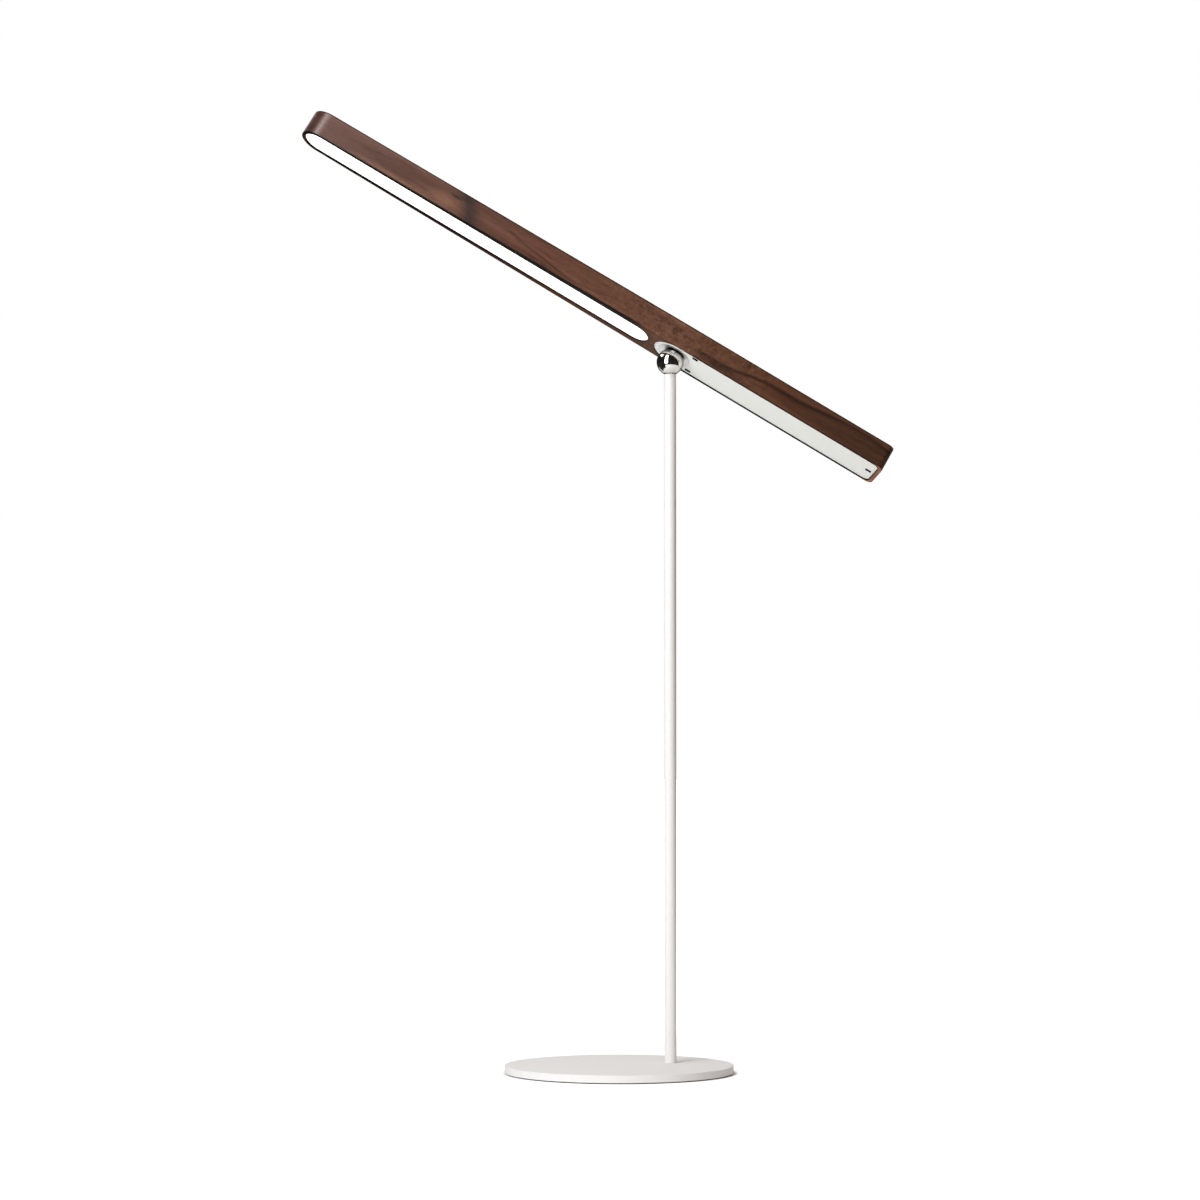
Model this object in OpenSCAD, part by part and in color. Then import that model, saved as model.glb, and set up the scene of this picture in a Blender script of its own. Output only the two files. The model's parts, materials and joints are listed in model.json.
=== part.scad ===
// Cordless table lamp: a wooden light bar on a magnetic ball joint, on a slim stem and a round base.
// The stand has +Z up and its origin at the middle of the base's underside. The stem is on +X.
// The bar has a frame of its own at the ball's centre: +x along the light arm, +z into the wood,
// and +y the long side that faces forward. in_bar() carries that frame to the bar's resting pose.

/* [Base] */
// Diameter of the base plate
base_d = 160; // [130:1:220]
// Thickness of the base plate
base_t = 5.2; // [4:0.1:8]
// Chamfer on both edges of the base plate
base_edge = 0.4; // [0.2:0.1:1.5]
// Thickness of the anti-slip pad
pad_t = 0.7; // [0.4:0.1:2]
// How far the pad stays inside the plate's edge
pad_inset = 1.5; // [0.5:0.1:6]

/* [Stem] */
// Diameter of the stem
stem_d = 8.5; // [7.5:0.1:12]
// Distance from the base's centre to the stem
stem_offset = 39; // [0:1:50]
// Height of the ball's centre over the base plate
ball_height = 493.5; // [330:0.5:600]
// Chamfer at the stem's foot and top
stem_edge = 0.3; // [0.1:0.1:0.8]
// Diameter of the screw that holds the stem
stem_screw_d = 5; // [3:0.1:6]
// Diameter of that screw's countersunk head
stem_head_d = 9.4; // [8:0.1:12]
// How far that screw reaches into the stem
stem_screw_grip = 14; // [8:1:25]
// Hexagon socket of that screw, across its corners
stem_socket_d = 3.4; // [2:0.1:4.5]

/* [Ball joint] */
// Diameter of the ball
ball_d = 19; // [16:0.1:24]
// How deep the ball sinks below the cover plate's face
ball_sink = 3.1; // [2:0.1:4]
// Diameter of the stud in the ball
stud_d = 5; // [3.5:0.1:6]
// How far the stud reaches into the stem
stud_grip = 12; // [8:1:25]
// How far the stud reaches into the ball
stud_reach = 9; // [6:0.5:11]
// Outer diameter of the cup
cup_d = 25; // [22:0.1:27]
// Depth of the wide dish round the ball's seat
dish_depth = 1.5; // [0.8:0.1:2]
// Flat lip between the dish and the cup's edge
cup_lip = 0.5; // [0.2:0.1:1.5]
// Metal left behind the deepest point of the seat
cup_wall = 1.4; // [0.8:0.1:2.5]
// Diameter of the magnet
magnet_d = 16; // [12:0.1:18]
// Thickness of the magnet
magnet_t = 4; // [3:0.1:5]
// Wall of the steel pot round the magnet
pot_wall = 1.2; // [0.8:0.1:2]

/* [Resting pose] */
// Turn of the bar round the stem
rest_turn = 100; // [0:0.5:360]
// Tilt of the bar on the ball
rest_tilt = 34; // [0:0.5:85]
// Spin of the bar round its cup
rest_spin = 65.5; // [0:0.5:360]

/* [Wooden bar] */
// Reach of the light arm from the ball to its round tip
arm_reach = 305; // [200:1:400]
// Reach of the short arm from the ball to its flat end
tail_reach = 167.5; // [140:0.5:220]
// Thickness of the bar
bar_t = 19; // [18:0.1:26]
// Width of the short arm
tail_w = 34.6; // [32:0.1:44]
// Width of the light arm at its tip
tip_w = 26.2; // [22:0.1:32]
// Corner radius at the flat end
tail_corner_r = 4.5; // [2:0.1:8]
// Break along the bar's outer edges
wood_edge = 0.5; // [0.2:0.1:0.8]
// Diameter of the bore that the light's leads run through
lead_bore_d = 3.4; // [2.8:0.1:4]
// Wood between that bore and the magnet's pot
lead_bore_cover = 1; // [0.6:0.1:1.5]

/* [Light] */
// Wood beside the light slot at the tip
slot_wall = 2.2; // [1.4:0.1:3]
// Wood in front of the light slot at the tip
slot_tip = 2.7; // [1.5:0.1:6]
// Distance from the ball to the near end of the slot
slot_start = 21.7; // [19:0.1:40]
// Thickness of the diffuser
diffuser_t = 2.4; // [1.5:0.1:3]
// How far the diffuser lies inside the rim of the wood
diffuser_recess = 0.9; // [0.2:0.1:1.5]
// Width of the ledge that the diffuser is glued to
diffuser_ledge = 2; // [1:0.1:3]
// Depth of the light chamber over that ledge
chamber_depth = 8.5; // [6:0.1:10]
// Length of the deeper end of the chamber, where the leads come in
lead_recess_l = 9; // [7:0.5:16]
// Step between the chamber's round end and that deeper end
lead_recess_step = 1.2; // [0.6:0.1:2]
// Width of the heat strip
heat_strip_w = 14; // [12:0.1:15]
// Thickness of the heat strip
heat_strip_t = 2; // [1:0.1:2.5]
// Width of the light board
led_board_w = 11; // [9:0.1:12]
// Thickness of the light board
led_board_t = 1.2; // [0.8:0.1:2]
// Free length at both ends of the heat strip
strip_free = 4; // [2:0.5:10]
// Spacing of the light sources
led_pitch = 8.5; // [7.5:0.1:16]
// Length of a light source along the board
led_l = 2.8; // [2:0.1:3]
// Width of a light source
led_w = 3.5; // [2:0.1:5]
// Height of a light source
led_t = 0.8; // [0.4:0.1:1.2]
// Number of screws in the heat strip
strip_screw_count = 3; // [2:1:5]
// Shank diameter of a strip screw
strip_screw_d = 2.2; // [1.6:0.1:2.6]
// Head diameter of a strip screw
strip_head_d = 4; // [3:0.1:4.4]
// Head height of a strip screw
strip_head_t = 1; // [0.6:0.1:1.6]
// How far a strip screw reaches into the wood
strip_grip = 5; // [3:0.1:5.5]

/* [Cover plate] */
// Thickness of the cover plate
plate_t = 1.2; // [0.8:0.1:1.6]
// How far the plate lies inside the rim of the wood
plate_recess = 0.85; // [0.2:0.05:1.2]
// Width of the wooden rim beside the plate
rim_w = 1.2; // [0.9:0.1:2]
// Wooden rim at the flat end
rim_end = 3.4; // [2:0.1:6]
// Corner radius of the plate at the flat end
plate_corner_r = 2.6; // [1:0.1:5]
// Width of the ledge that the plate lies on
plate_ledge = 1.9; // [1.2:0.1:2.4]
// Length of a latch slot
latch_l = 4.4; // [3:0.1:5]
// Width of a latch slot
latch_w = 3; // [1.2:0.1:4]
// Distance from the ball to the middle of the two near slots
latch_x = 14.1; // [13:0.1:16]
// Distance from the near slots to the plate's long edges
latch_edge = 3.8; // [3.2:0.1:4.4]
// Distance from the far slot to the plate's square end
latch_end = 4.1; // [3.5:0.1:5]
// How far the tongues stand out of the plate's face
latch_proud = 0.2; // [0:0.1:0.6]

/* [Battery tray] */
// Wood between the cup's bore and the tray's pocket
boss_wall = 1.4; // [0.8:0.1:2]
// Thickness of the tray's floor
tray_floor = 1.4; // [1:0.1:2]
// Thickness of the tray's side walls
tray_wall = 1.2; // [0.8:0.1:1.6]
// Height of the tray's walls and screw posts over its floor
tray_wall_h = 6.5; // [5:0.1:8]
// Length of the screw shelf beside the ball
near_shelf_l = 24.5; // [23.5:0.1:30]
// Length of the screw shelf at the flat end
far_shelf_l = 10; // [9.5:0.1:14]
// Diameter of a screw post
post_d = 7; // [6:0.1:7.5]
// Distance between the two posts of a pair
post_gap = 20; // [17:0.1:20.5]
// Distance from the ball to the near posts
near_post_x = 20; // [19.5:0.1:21]
// Distance from the far posts to the pocket's end
far_post_end = 4.6; // [4:0.1:6]
// Shank diameter of a tray screw
tray_screw_d = 2.5; // [2:0.1:3]
// Head diameter of a tray screw
tray_head_d = 4.6; // [3.8:0.1:5]
// Head height of a tray screw
tray_head_t = 1.6; // [1:0.1:2]
// How far a tray screw reaches into the wood
tray_grip = 5.5; // [4:0.1:6]

/* [Cell] */
// Thickness of the cell
cell_t = 9; // [6:0.1:9.5]
// Corner radius of the cell's section
cell_r = 1.8; // [0.8:0.1:2.8]
// Length of the sealed lip at the cell's end
cell_lip_l = 3; // [2:0.1:5]
// Thickness of that lip
cell_lip_t = 0.8; // [0.4:0.1:1.5]
// Width of the foam strip over the cell
cell_pad_w = 12; // [8:0.5:14]
// Bare length of the cell past the foam strip
cell_pad_free = 8; // [4:0.5:20]
// Free length at each end of the cell
cell_free = 1; // [0.5:0.1:3]

/* [Controls] */
// Length of the control board
board_l = 34; // [32:0.5:44]
// Thickness of the control board
board_t = 1.6; // [1:0.1:2]
// Height of the board over the tray's floor
board_lift = 2.9; // [2:0.1:4]
// Diameter of the stubs that carry the board
board_stub_d = 3; // [2:0.1:4]
// Distance from the stubs to the board's edges
board_stub_edge = 2.5; // [2:0.1:4]
// Diameter of the coil on the board
coil_d = 6; // [4:0.1:7]
// Height of the coil
coil_h = 3; // [2:0.1:3.5]
// Side of a chip on the board
chip_w = 5; // [3:0.1:6]
// Height of a chip or a capacitor
chip_h = 1; // [0.6:0.1:1.4]
// Distance from the coil to each chip
chip_pitch = 8; // [7:0.1:9]
// Length of a capacitor
capacitor_l = 2; // [1:0.1:3]
// Width of a capacitor
capacitor_w = 1.2; // [0.6:0.1:1.6]
// Distance from the inlet's middle to the board's end
inlet_x = 9; // [7.5:0.1:11]
// Width of the charging inlet
inlet_w = 8.94; // [8.9:0.01:9]
// Height of the charging inlet
inlet_h = 3.26; // [3.2:0.01:3.3]
// Length of the charging inlet
inlet_l = 7.35; // [7:0.05:9]
// Wall of the inlet's shell
inlet_wall = 0.3; // [0.2:0.05:0.4]
// How far the inlet's mouth lies below the wood
inlet_recess = 0.4; // [0.1:0.1:1]
// Thickness of the contact tongue in the inlet
inlet_tongue_t = 0.7; // [0.6:0.05:0.8]
// Distance from the button to the inlet
button_gap = 16; // [13:0.1:18]
// Diameter of the button
button_d = 6; // [4.5:0.1:7]
// How far the button stands out of the wood
button_proud = 0.8; // [0.4:0.1:1.5]
// Travel of the button
button_travel = 0.6; // [0.3:0.1:1]
// Width of the flange that keeps the button in the wood
button_flange = 0.9; // [0.6:0.1:1.2]
// Thickness of that flange
button_flange_t = 0.7; // [0.5:0.1:1]
// Width of the push switch
switch_w = 4.5; // [4:0.1:6]
// Depth of the push switch
switch_l = 3.5; // [3:0.1:5]
// Diameter of the switch's plunger
plunger_d = 2; // [1.2:0.1:2.6]
// Diameter of a lead, with its insulation
lead_d = 1.2; // [0.8:0.1:1.4]
// Length over which the light's leads turn from the tray's side into their bore
lead_turn_l = 26; // [24:0.5:34]

/* [Fits] */
// Radial clearance of a running fit
fit_gap = 0.08; // [0.03:0.01:0.1]
// Clearance round a piece that is glued, screwed or latched in place
glue_gap = 0.1; // [0.05:0.01:0.2]
// Clearance between the ball and its seat
seat_gap = 0.25; // [0.2:0.01:0.4]
// Clearance between the tray and the wood
tray_gap = 0.2; // [0.1:0.05:0.4]

/* [Hidden] */
$fn = 96;
// Overshoot of a cutter past the face that it cuts
cut = 1;

// Stand, from the table upwards
base_top = pad_t + base_t;
ball_z = base_top + ball_height;
ball_r = ball_d / 2;
stem_r = stem_d / 2;
ball_flat = sqrt(ball_r * ball_r - stem_r * stem_r);
stem_top = ball_z - ball_flat;
stem_head_t = (stem_head_d - stem_screw_d) / 2;
stem_socket_depth = stem_head_t * 0.8;

// Levels of the bar, from the ball's centre into the wood
plate_z = ball_r - ball_sink;
plate_back = plate_z + plate_t;
rim_z = plate_z - plate_recess;
bar_top = rim_z + bar_t;
seat_r = ball_r + seat_gap;
cup_r = cup_d / 2;
cup_back = seat_r + cup_wall;
dish_r = cup_r - cup_lip;
dish_ball_r = (dish_r * dish_r + dish_depth * dish_depth) / (2 * dish_depth);
pot_d = magnet_d + 2 * (glue_gap + pot_wall);
pot_back = cup_back + magnet_t + pot_wall;
pot_floor = pot_back + glue_gap;
lead_z = pot_floor + lead_bore_cover + lead_bore_d / 2;
pocket_top = lead_z + lead_bore_d / 2 + tray_gap;

// Outline of the bar: straight sides run from the short arm's width and touch the round tip
tail_half = tail_w / 2;
tip_r = tip_w / 2;
tip_x = arm_reach - tip_r;
side_run = sqrt(tail_half * tail_half + tip_x * tip_x);
side_angle = acos(tip_r / side_run) - atan2(tip_x, tail_half);
touch_x = tip_x + tip_r * sin(side_angle);
touch_y = tip_r * cos(side_angle);

// Light slot, chamber and board
slot_w = tip_w - 2 * slot_wall;
slot_end = arm_reach - slot_tip;
diffuser_z = rim_z + diffuser_recess;
ledge_z = diffuser_z + diffuser_t;
chamber_w = slot_w - 2 * diffuser_ledge;
chamber_start = slot_start + diffuser_ledge;
chamber_end = slot_end - diffuser_ledge;
chamber_top = ledge_z + chamber_depth;
lead_recess_x = chamber_start + lead_recess_step;
strip_start = lead_recess_x + lead_recess_l + strip_free;
strip_end = chamber_end - strip_free;
strip_z = chamber_top - heat_strip_t;
led_board_z = strip_z - led_board_t;
led_count = floor((strip_end - strip_start - led_pitch) / led_pitch);
led_first = (strip_start + strip_end - (led_count - 1) * led_pitch) / 2;

// Cover plate and the pocket behind it
plate_gap_w = tail_w - 2 * rim_w;
plate_w = plate_gap_w - 2 * glue_gap;
plate_tail = tail_reach - rim_end;
latch_y = plate_w / 2 - latch_edge;
latch_far_x = plate_tail - latch_end;
pocket_w = plate_gap_w - 2 * plate_ledge;
pocket_half = pocket_w / 2;
pocket_tail = plate_tail - plate_ledge;
pocket_head = latch_x - latch_l;
boss_r = cup_r + fit_gap + boss_wall;
deep_tail = pocket_tail - far_shelf_l;

// Tray in the pocket
tray_z = plate_back + glue_gap;
tray_top = tray_z + tray_floor;
shelf_z = tray_top + tray_wall_h;
tray_half = pocket_half - tray_gap;
tray_inner = tray_half - tray_wall;
tray_head = pocket_head + tray_gap;
tray_tail = pocket_tail - tray_gap;
far_post_x = pocket_tail - far_post_end;
post_spots = [for (side = [-1, 1], x = [near_post_x, far_post_x]) [-x, side * post_gap / 2]];
latch_spots = [[-latch_x, latch_y], [-latch_x, -latch_y], [-latch_far_x, 0]];

// Control board, cell and leads
board_tail = deep_tail - cell_free;
board_head = board_tail - board_l;
board_half = tray_inner - tray_gap;
board_z = tray_top + board_lift;
board_top = board_z + board_t;
cell_head = near_shelf_l + cell_free;
cell_tail = board_head - cell_free - cell_lip_l;
cell_half = tray_inner - tray_gap;
cell_top = tray_top + cell_t;
cell_lip_z = tray_top + cell_t / 2;
inlet_spot = -(board_tail - inlet_x);
inlet_z = board_top + inlet_h / 2;
inlet_mouth = tail_half - inlet_recess;
button_spot = inlet_spot + button_gap;
button_flange_d = button_d + 2 * button_flange;
button_z = inlet_z;
switch_h = 2 * (button_z - board_top);
button_seat = pocket_half;
button_back = button_seat - button_flange_t;
plunger_tip = button_back - button_travel - glue_gap;
lead_run_y = board_half - lead_d;
lead_run_z = pocket_top - lead_d / 2 - tray_gap;
lead_half_gap = (lead_d + tray_gap) / 2;
lead_turn_x = -near_shelf_l - 3 * lead_d;
cell_pad_head = lead_turn_l + 2 * lead_d - lead_turn_x;
bend_r = 1.5 * lead_d;
bend_steps = 3;
lead_sides = 8;
outline_sides = 64;

// Carries a piece from the bar's own frame to the resting pose
module in_bar() {
    translate([stem_offset, 0, ball_z])
        rotate([rest_tilt, 0, rest_turn])
            rotate([0, 0, rest_spin])
                children();
}

// Flat outline with two round ends, along x
module stadium(x0, x1, w) {
    translate([x0 + w / 2, 0])
        circle(d = w);
    translate([x1 - w / 2, 0])
        circle(d = w);
    translate([x0 + w / 2, -w / 2])
        square([x1 - x0 - w, w]);
}

// Flat outline of an arm towards -x, with two rounded corners at its end
module square_end(x0, length, half, r) {
    translate([-length + r, -half])
        square([length - r + x0, 2 * half]);
    translate([-length, -half + r])
        square([2 * r, 2 * (half - r)]);
    for (side = [-1, 1])
        translate([-length + r, side * (half - r)])
            circle(r = r);
}

// Flat outline of the whole bar
module bar_outline() {
    translate([tip_x, 0])
        circle(r = tip_r);
    polygon([[0, -tail_half], [touch_x, -touch_y], [touch_x, touch_y], [0, tail_half]]);
    square_end(0, tail_reach, tail_half, tail_corner_r);
}

// Flat outline of the cover plate: round at the ball, square at the end
module plate_outline(half, tail) {
    circle(r = half);
    square_end(0, tail, half, plate_corner_r);
}

// Solid between two levels over a flat outline
module slab(z0, z1) {
    translate([0, 0, z0])
        linear_extrude(height = z1 - z0)
            children();
}

// Solid stick of the bar, with its outer edges broken
module bar_block() {
    hull() {
        slab(rim_z + wood_edge, bar_top - wood_edge)
            bar_outline($fn = outline_sides);
        slab(rim_z, bar_top)
            offset(delta = -wood_edge)
                bar_outline($fn = outline_sides);
    }
}

// Round rod from one point to the next
module rod(a, b, d) {
    run = b - a;
    translate(a)
        rotate([0, acos(run[2] / norm(run)), atan2(run[1], run[0])])
            cylinder(d = d, h = norm(run));
}

// Direction of a vector
function unit(v) = v / norm(v);

// Route with each corner drawn as a short curve that starts and ends bend_r from it
function eased(route) = [
    route[0],
    for (i = [1 : len(route) - 2])
        let (
            before = route[i] + bend_r * unit(route[i - 1] - route[i]),
            after = route[i] + bend_r * unit(route[i + 1] - route[i])
        )
            for (k = [0 : bend_steps])
                let (t = k / bend_steps)
                    (1 - t) * (1 - t) * before + 2 * t * (1 - t) * route[i] + t * t * after,
    route[len(route) - 1]
];

// Insulated lead swept along a route
module lead(route) {
    path = eased(route);
    last = len(path) - 1;
    n = lead_sides;
    points = [
        for (i = [0 : last])
            let (
                along = unit(path[min(i + 1, last)] - path[max(i - 1, 0)]),
                across = unit(cross(along, [0, 1, 0])),
                over = cross(along, across)
            )
                for (k = [0 : n - 1])
                    path[i] + lead_d / 2 * (cos(360 * k / n) * across + sin(360 * k / n) * over)
    ];
    walls = [
        for (i = [0 : last - 1], k = [0 : n - 1])
            let (a = i * n + k, b = i * n + (k + 1) % n)
                each [[a, b + n, b], [a, a + n, b + n]]
    ];
    start_cap = [for (k = [0 : n - 1]) k];
    end_cap = [for (k = [0 : n - 1]) last * n + n - 1 - k];
    polyhedron(points = points, faces = concat([start_cap, end_cap], walls));
}

// Countersunk screw hole or head, point upwards, with its face at z = 0
module countersink(d, head_d, grow) {
    cylinder(d1 = head_d + 2 * grow, d2 = d + 2 * grow, h = (head_d - d) / 2);
}

module base_plate() {
    r = base_d / 2;
    color([0.93, 0.92, 0.92])
        difference() {
            rotate_extrude()
                polygon([
                    [0, pad_t],
                    [r - base_edge, pad_t],
                    [r, pad_t + base_edge],
                    [r, base_top - base_edge],
                    [r - base_edge, base_top],
                    [0, base_top]
                ]);
            translate([stem_offset, 0, pad_t]) {
                translate([0, 0, -cut])
                    cylinder(d = stem_screw_d + 2 * glue_gap, h = base_t + 2 * cut);
                countersink(stem_screw_d, stem_head_d, glue_gap);
            }
        }
}

module base_pad() {
    color([0.13, 0.13, 0.13])
        cylinder(r = base_d / 2 - pad_inset, h = pad_t);
}

module stem() {
    color([0.95, 0.94, 0.93])
        translate([stem_offset, 0, 0])
            difference() {
                rotate_extrude()
                    polygon([
                        [0, base_top],
                        [stem_r - stem_edge, base_top],
                        [stem_r, base_top + stem_edge],
                        [stem_r, stem_top - stem_edge],
                        [stem_r - stem_edge, stem_top],
                        [0, stem_top]
                    ]);
                translate([0, 0, base_top - cut])
                    cylinder(d = stem_screw_d + 2 * glue_gap, h = stem_screw_grip + 2 * cut);
                translate([0, 0, stem_top - stud_grip])
                    cylinder(d = stud_d + 2 * fit_gap, h = stud_grip + cut);
            }
}

module stem_screw() {
    color([0.6, 0.6, 0.62])
        translate([stem_offset, 0, pad_t])
            difference() {
                union() {
                    countersink(stem_screw_d, stem_head_d, 0);
                    cylinder(d = stem_screw_d, h = base_t + stem_screw_grip);
                }
                translate([0, 0, -cut])
                    cylinder(d = stem_socket_d, h = stem_socket_depth + cut, $fn = 6);
            }
}

module ball_stud() {
    color([0.6, 0.6, 0.62])
        translate([stem_offset, 0, stem_top - stud_grip])
            cylinder(d = stud_d, h = stud_grip + stud_reach);
}

module joint_ball() {
    color([0.82, 0.82, 0.83])
        translate([stem_offset, 0, ball_z])
            difference() {
                sphere(r = ball_r);
                translate([0, 0, -ball_flat - ball_r])
                    cylinder(r = ball_r, h = ball_r);
                translate([0, 0, -ball_r])
                    cylinder(d = stud_d + 2 * fit_gap, h = ball_r - ball_flat + stud_reach + seat_gap);
            }
}

module ball_cup() {
    color([0.86, 0.86, 0.86])
        in_bar()
            difference() {
                translate([0, 0, plate_z])
                    cylinder(r = cup_r, h = cup_back - plate_z);
                sphere(r = seat_r);
                translate([0, 0, plate_z + dish_depth - dish_ball_r])
                    sphere(r = dish_ball_r);
            }
}

module ball_magnet() {
    color([0.55, 0.55, 0.57])
        in_bar()
            translate([0, 0, cup_back])
                cylinder(d = magnet_d, h = magnet_t);
}

module magnet_pot() {
    color([0.7, 0.7, 0.72])
        in_bar()
            difference() {
                translate([0, 0, cup_back])
                    cylinder(d = pot_d, h = pot_back - cup_back);
                translate([0, 0, cup_back - cut])
                    cylinder(d = magnet_d + 2 * glue_gap, h = magnet_t + cut);
            }
}

// Round pocket of the cup and, deeper, of the magnet's pot
module cup_pocket() {
    translate([0, 0, rim_z - cut])
        cylinder(r = cup_r + fit_gap, h = cup_back - rim_z + cut);
    translate([0, 0, cup_back - cut])
        cylinder(d = pot_d + 2 * fit_gap, h = pot_floor - cup_back + cut);
}

// Slot of the diffuser, light chamber over it, and the bore for the leads
module light_pocket() {
    slab(rim_z - cut, ledge_z)
        stadium(slot_start, slot_end, slot_w);
    slab(ledge_z - cut, chamber_top)
        stadium(chamber_start, chamber_end, chamber_w);
    slab(chamber_top - cut, pocket_top)
        stadium(lead_recess_x, strip_start + strip_free, chamber_w / 2);
    rod([-near_shelf_l - cut, 0, lead_z], [lead_recess_x + chamber_w / 4, 0, lead_z], lead_bore_d);
}

// Recess of the cover plate and the stepped pocket of the tray
module tray_pocket() {
    slab(rim_z - cut, plate_back)
        plate_outline(plate_gap_w / 2, plate_tail + glue_gap);
    difference() {
        union() {
            translate([-pocket_tail, -pocket_half, plate_back - cut])
                cube([pocket_tail - pocket_head, pocket_w, shelf_z - plate_back + cut]);
            translate([-deep_tail, -pocket_half, plate_back - cut])
                cube([deep_tail - near_shelf_l, pocket_w, pocket_top - plate_back + cut]);
        }
        slab(plate_back - 2 * cut, shelf_z + cut)
            circle(r = boss_r);
    }
    for (spot = post_spots)
        translate([spot[0], spot[1], shelf_z - cut])
            cylinder(d = tray_screw_d + 2 * glue_gap, h = tray_grip + 2 * cut);
}

// Opening of the charging inlet and bore of the button, through the far long side
module control_openings() {
    translate([inlet_spot, -pocket_half + cut, inlet_z])
        rotate([90, 0, 0])
            linear_extrude(height = tail_half - pocket_half + 2 * cut)
                stadium(-inlet_w / 2 - glue_gap, inlet_w / 2 + glue_gap, inlet_h + 2 * glue_gap);
    translate([button_spot, -pocket_half + cut, button_z])
        rotate([90, 0, 0])
            cylinder(d = button_d + 2 * fit_gap, h = tail_half - pocket_half + 2 * cut);
}

// Places of the strip screws, half-way between two light sources
function strip_screw_x(i) =
    led_first + (round((i + 0.5) * (led_count - 1) / strip_screw_count - 0.5) + 0.5) * led_pitch;

module wood_body() {
    color([0.42, 0.28, 0.2])
        in_bar()
            difference() {
                bar_block();
                cup_pocket();
                light_pocket();
                tray_pocket();
                control_openings();
                for (i = [0 : strip_screw_count - 1])
                    translate([strip_screw_x(i), 0, chamber_top - cut])
                        cylinder(d = strip_screw_d + 2 * glue_gap, h = strip_grip + 2 * cut);
            }
}

module cover_plate() {
    color([0.88, 0.88, 0.86])
        in_bar()
            difference() {
                slab(plate_z, plate_back)
                    plate_outline(plate_w / 2, plate_tail);
                translate([0, 0, plate_z - cut])
                    cylinder(r = cup_r + fit_gap, h = plate_t + 2 * cut);
                for (spot = latch_spots)
                    translate([spot[0] - latch_l / 2, spot[1] - latch_w / 2, plate_z - cut])
                        cube([latch_l, latch_w, plate_t + 2 * cut]);
            }
}

module diffuser() {
    color([1, 0.99, 0.95])
        in_bar()
            slab(diffuser_z, ledge_z)
                stadium(slot_start + glue_gap, slot_end - glue_gap, slot_w - 2 * glue_gap);
}

// Holes of the strip screws, through the board and the strip
module strip_screw_holes() {
    for (i = [0 : strip_screw_count - 1])
        translate([strip_screw_x(i), 0, led_board_z - cut])
            cylinder(d = strip_screw_d + 2 * glue_gap, h = chamber_top - led_board_z + 2 * cut);
}

module led_board() {
    color([0.94, 0.94, 0.92])
        in_bar()
            difference() {
                translate([strip_start, -led_board_w / 2, led_board_z])
                    cube([strip_end - strip_start, led_board_w, led_board_t]);
                strip_screw_holes();
            }
}

module leds() {
    color([1, 0.93, 0.6])
        in_bar()
            for (i = [0 : led_count - 1])
                translate([led_first + i * led_pitch - led_l / 2, -led_w / 2, led_board_z - led_t])
                    cube([led_l, led_w, led_t]);
}

module heat_strip() {
    color([0.75, 0.76, 0.78])
        in_bar()
            difference() {
                translate([strip_start, -heat_strip_w / 2, strip_z])
                    cube([strip_end - strip_start, heat_strip_w, heat_strip_t]);
                strip_screw_holes();
            }
}

module strip_screws() {
    color([0.6, 0.6, 0.62])
        in_bar()
            for (i = [0 : strip_screw_count - 1])
                translate([strip_screw_x(i), 0, led_board_z - strip_head_t]) {
                    cylinder(d = strip_head_d, h = strip_head_t);
                    cylinder(d = strip_screw_d, h = strip_head_t + chamber_top - led_board_z + strip_grip);
                }
}

// Notches in the tray's wall for the inlet and the button's flange
module tray_notches() {
    notch_h = shelf_z - tray_top + cut;
    translate([inlet_spot - inlet_w / 2 - tray_gap, -tray_half - cut, tray_top])
        cube([inlet_w + 2 * tray_gap, tray_wall + 2 * cut, notch_h]);
    translate([button_spot - button_flange_d / 2 - tray_gap, -tray_half - cut, tray_top])
        cube([button_flange_d + 2 * tray_gap, tray_wall + 2 * cut, notch_h]);
}

module battery_tray() {
    color([0.16, 0.16, 0.17])
        in_bar()
            difference() {
                union() {
                    translate([-tray_tail, -tray_half, tray_z])
                        cube([tray_tail - tray_head, 2 * tray_half, tray_floor]);
                    for (side = [-1, 1])
                        translate([-tray_tail, side * (tray_half - tray_wall / 2) - tray_wall / 2, tray_z])
                            cube([tray_tail - tray_head, tray_wall, shelf_z - tray_z]);
                    for (spot = post_spots)
                        translate([spot[0], spot[1], tray_z])
                            cylinder(d = post_d, h = shelf_z - tray_z);
                    for (side = [-1, 1], x = [board_head + board_stub_edge, board_tail - board_stub_edge])
                        translate([-x, side * (board_half - board_stub_edge), tray_z])
                            cylinder(d = board_stub_d, h = board_z - tray_z);
                    for (spot = latch_spots)
                        translate([spot[0] - latch_l / 2 + glue_gap, spot[1] - latch_w / 2 + glue_gap,
                                   plate_z - latch_proud])
                            cube([latch_l - 2 * glue_gap, latch_w - 2 * glue_gap,
                                  tray_top - plate_z + latch_proud]);
                }
                translate([0, 0, plate_z])
                    cylinder(r = boss_r + tray_gap, h = shelf_z);
                for (spot = post_spots)
                    translate([spot[0], spot[1], tray_z - cut]) {
                        cylinder(d = tray_head_d + 2 * glue_gap, h = tray_head_t + cut);
                        cylinder(d = tray_screw_d + 2 * glue_gap, h = shelf_z - tray_z + 2 * cut);
                    }
                tray_notches();
            }
}

module tray_screws() {
    color([0.6, 0.6, 0.62])
        in_bar()
            for (spot = post_spots)
                translate([spot[0], spot[1], tray_z]) {
                    cylinder(d = tray_head_d, h = tray_head_t);
                    cylinder(d = tray_screw_d, h = shelf_z - tray_z + tray_grip);
                }
}

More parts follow.
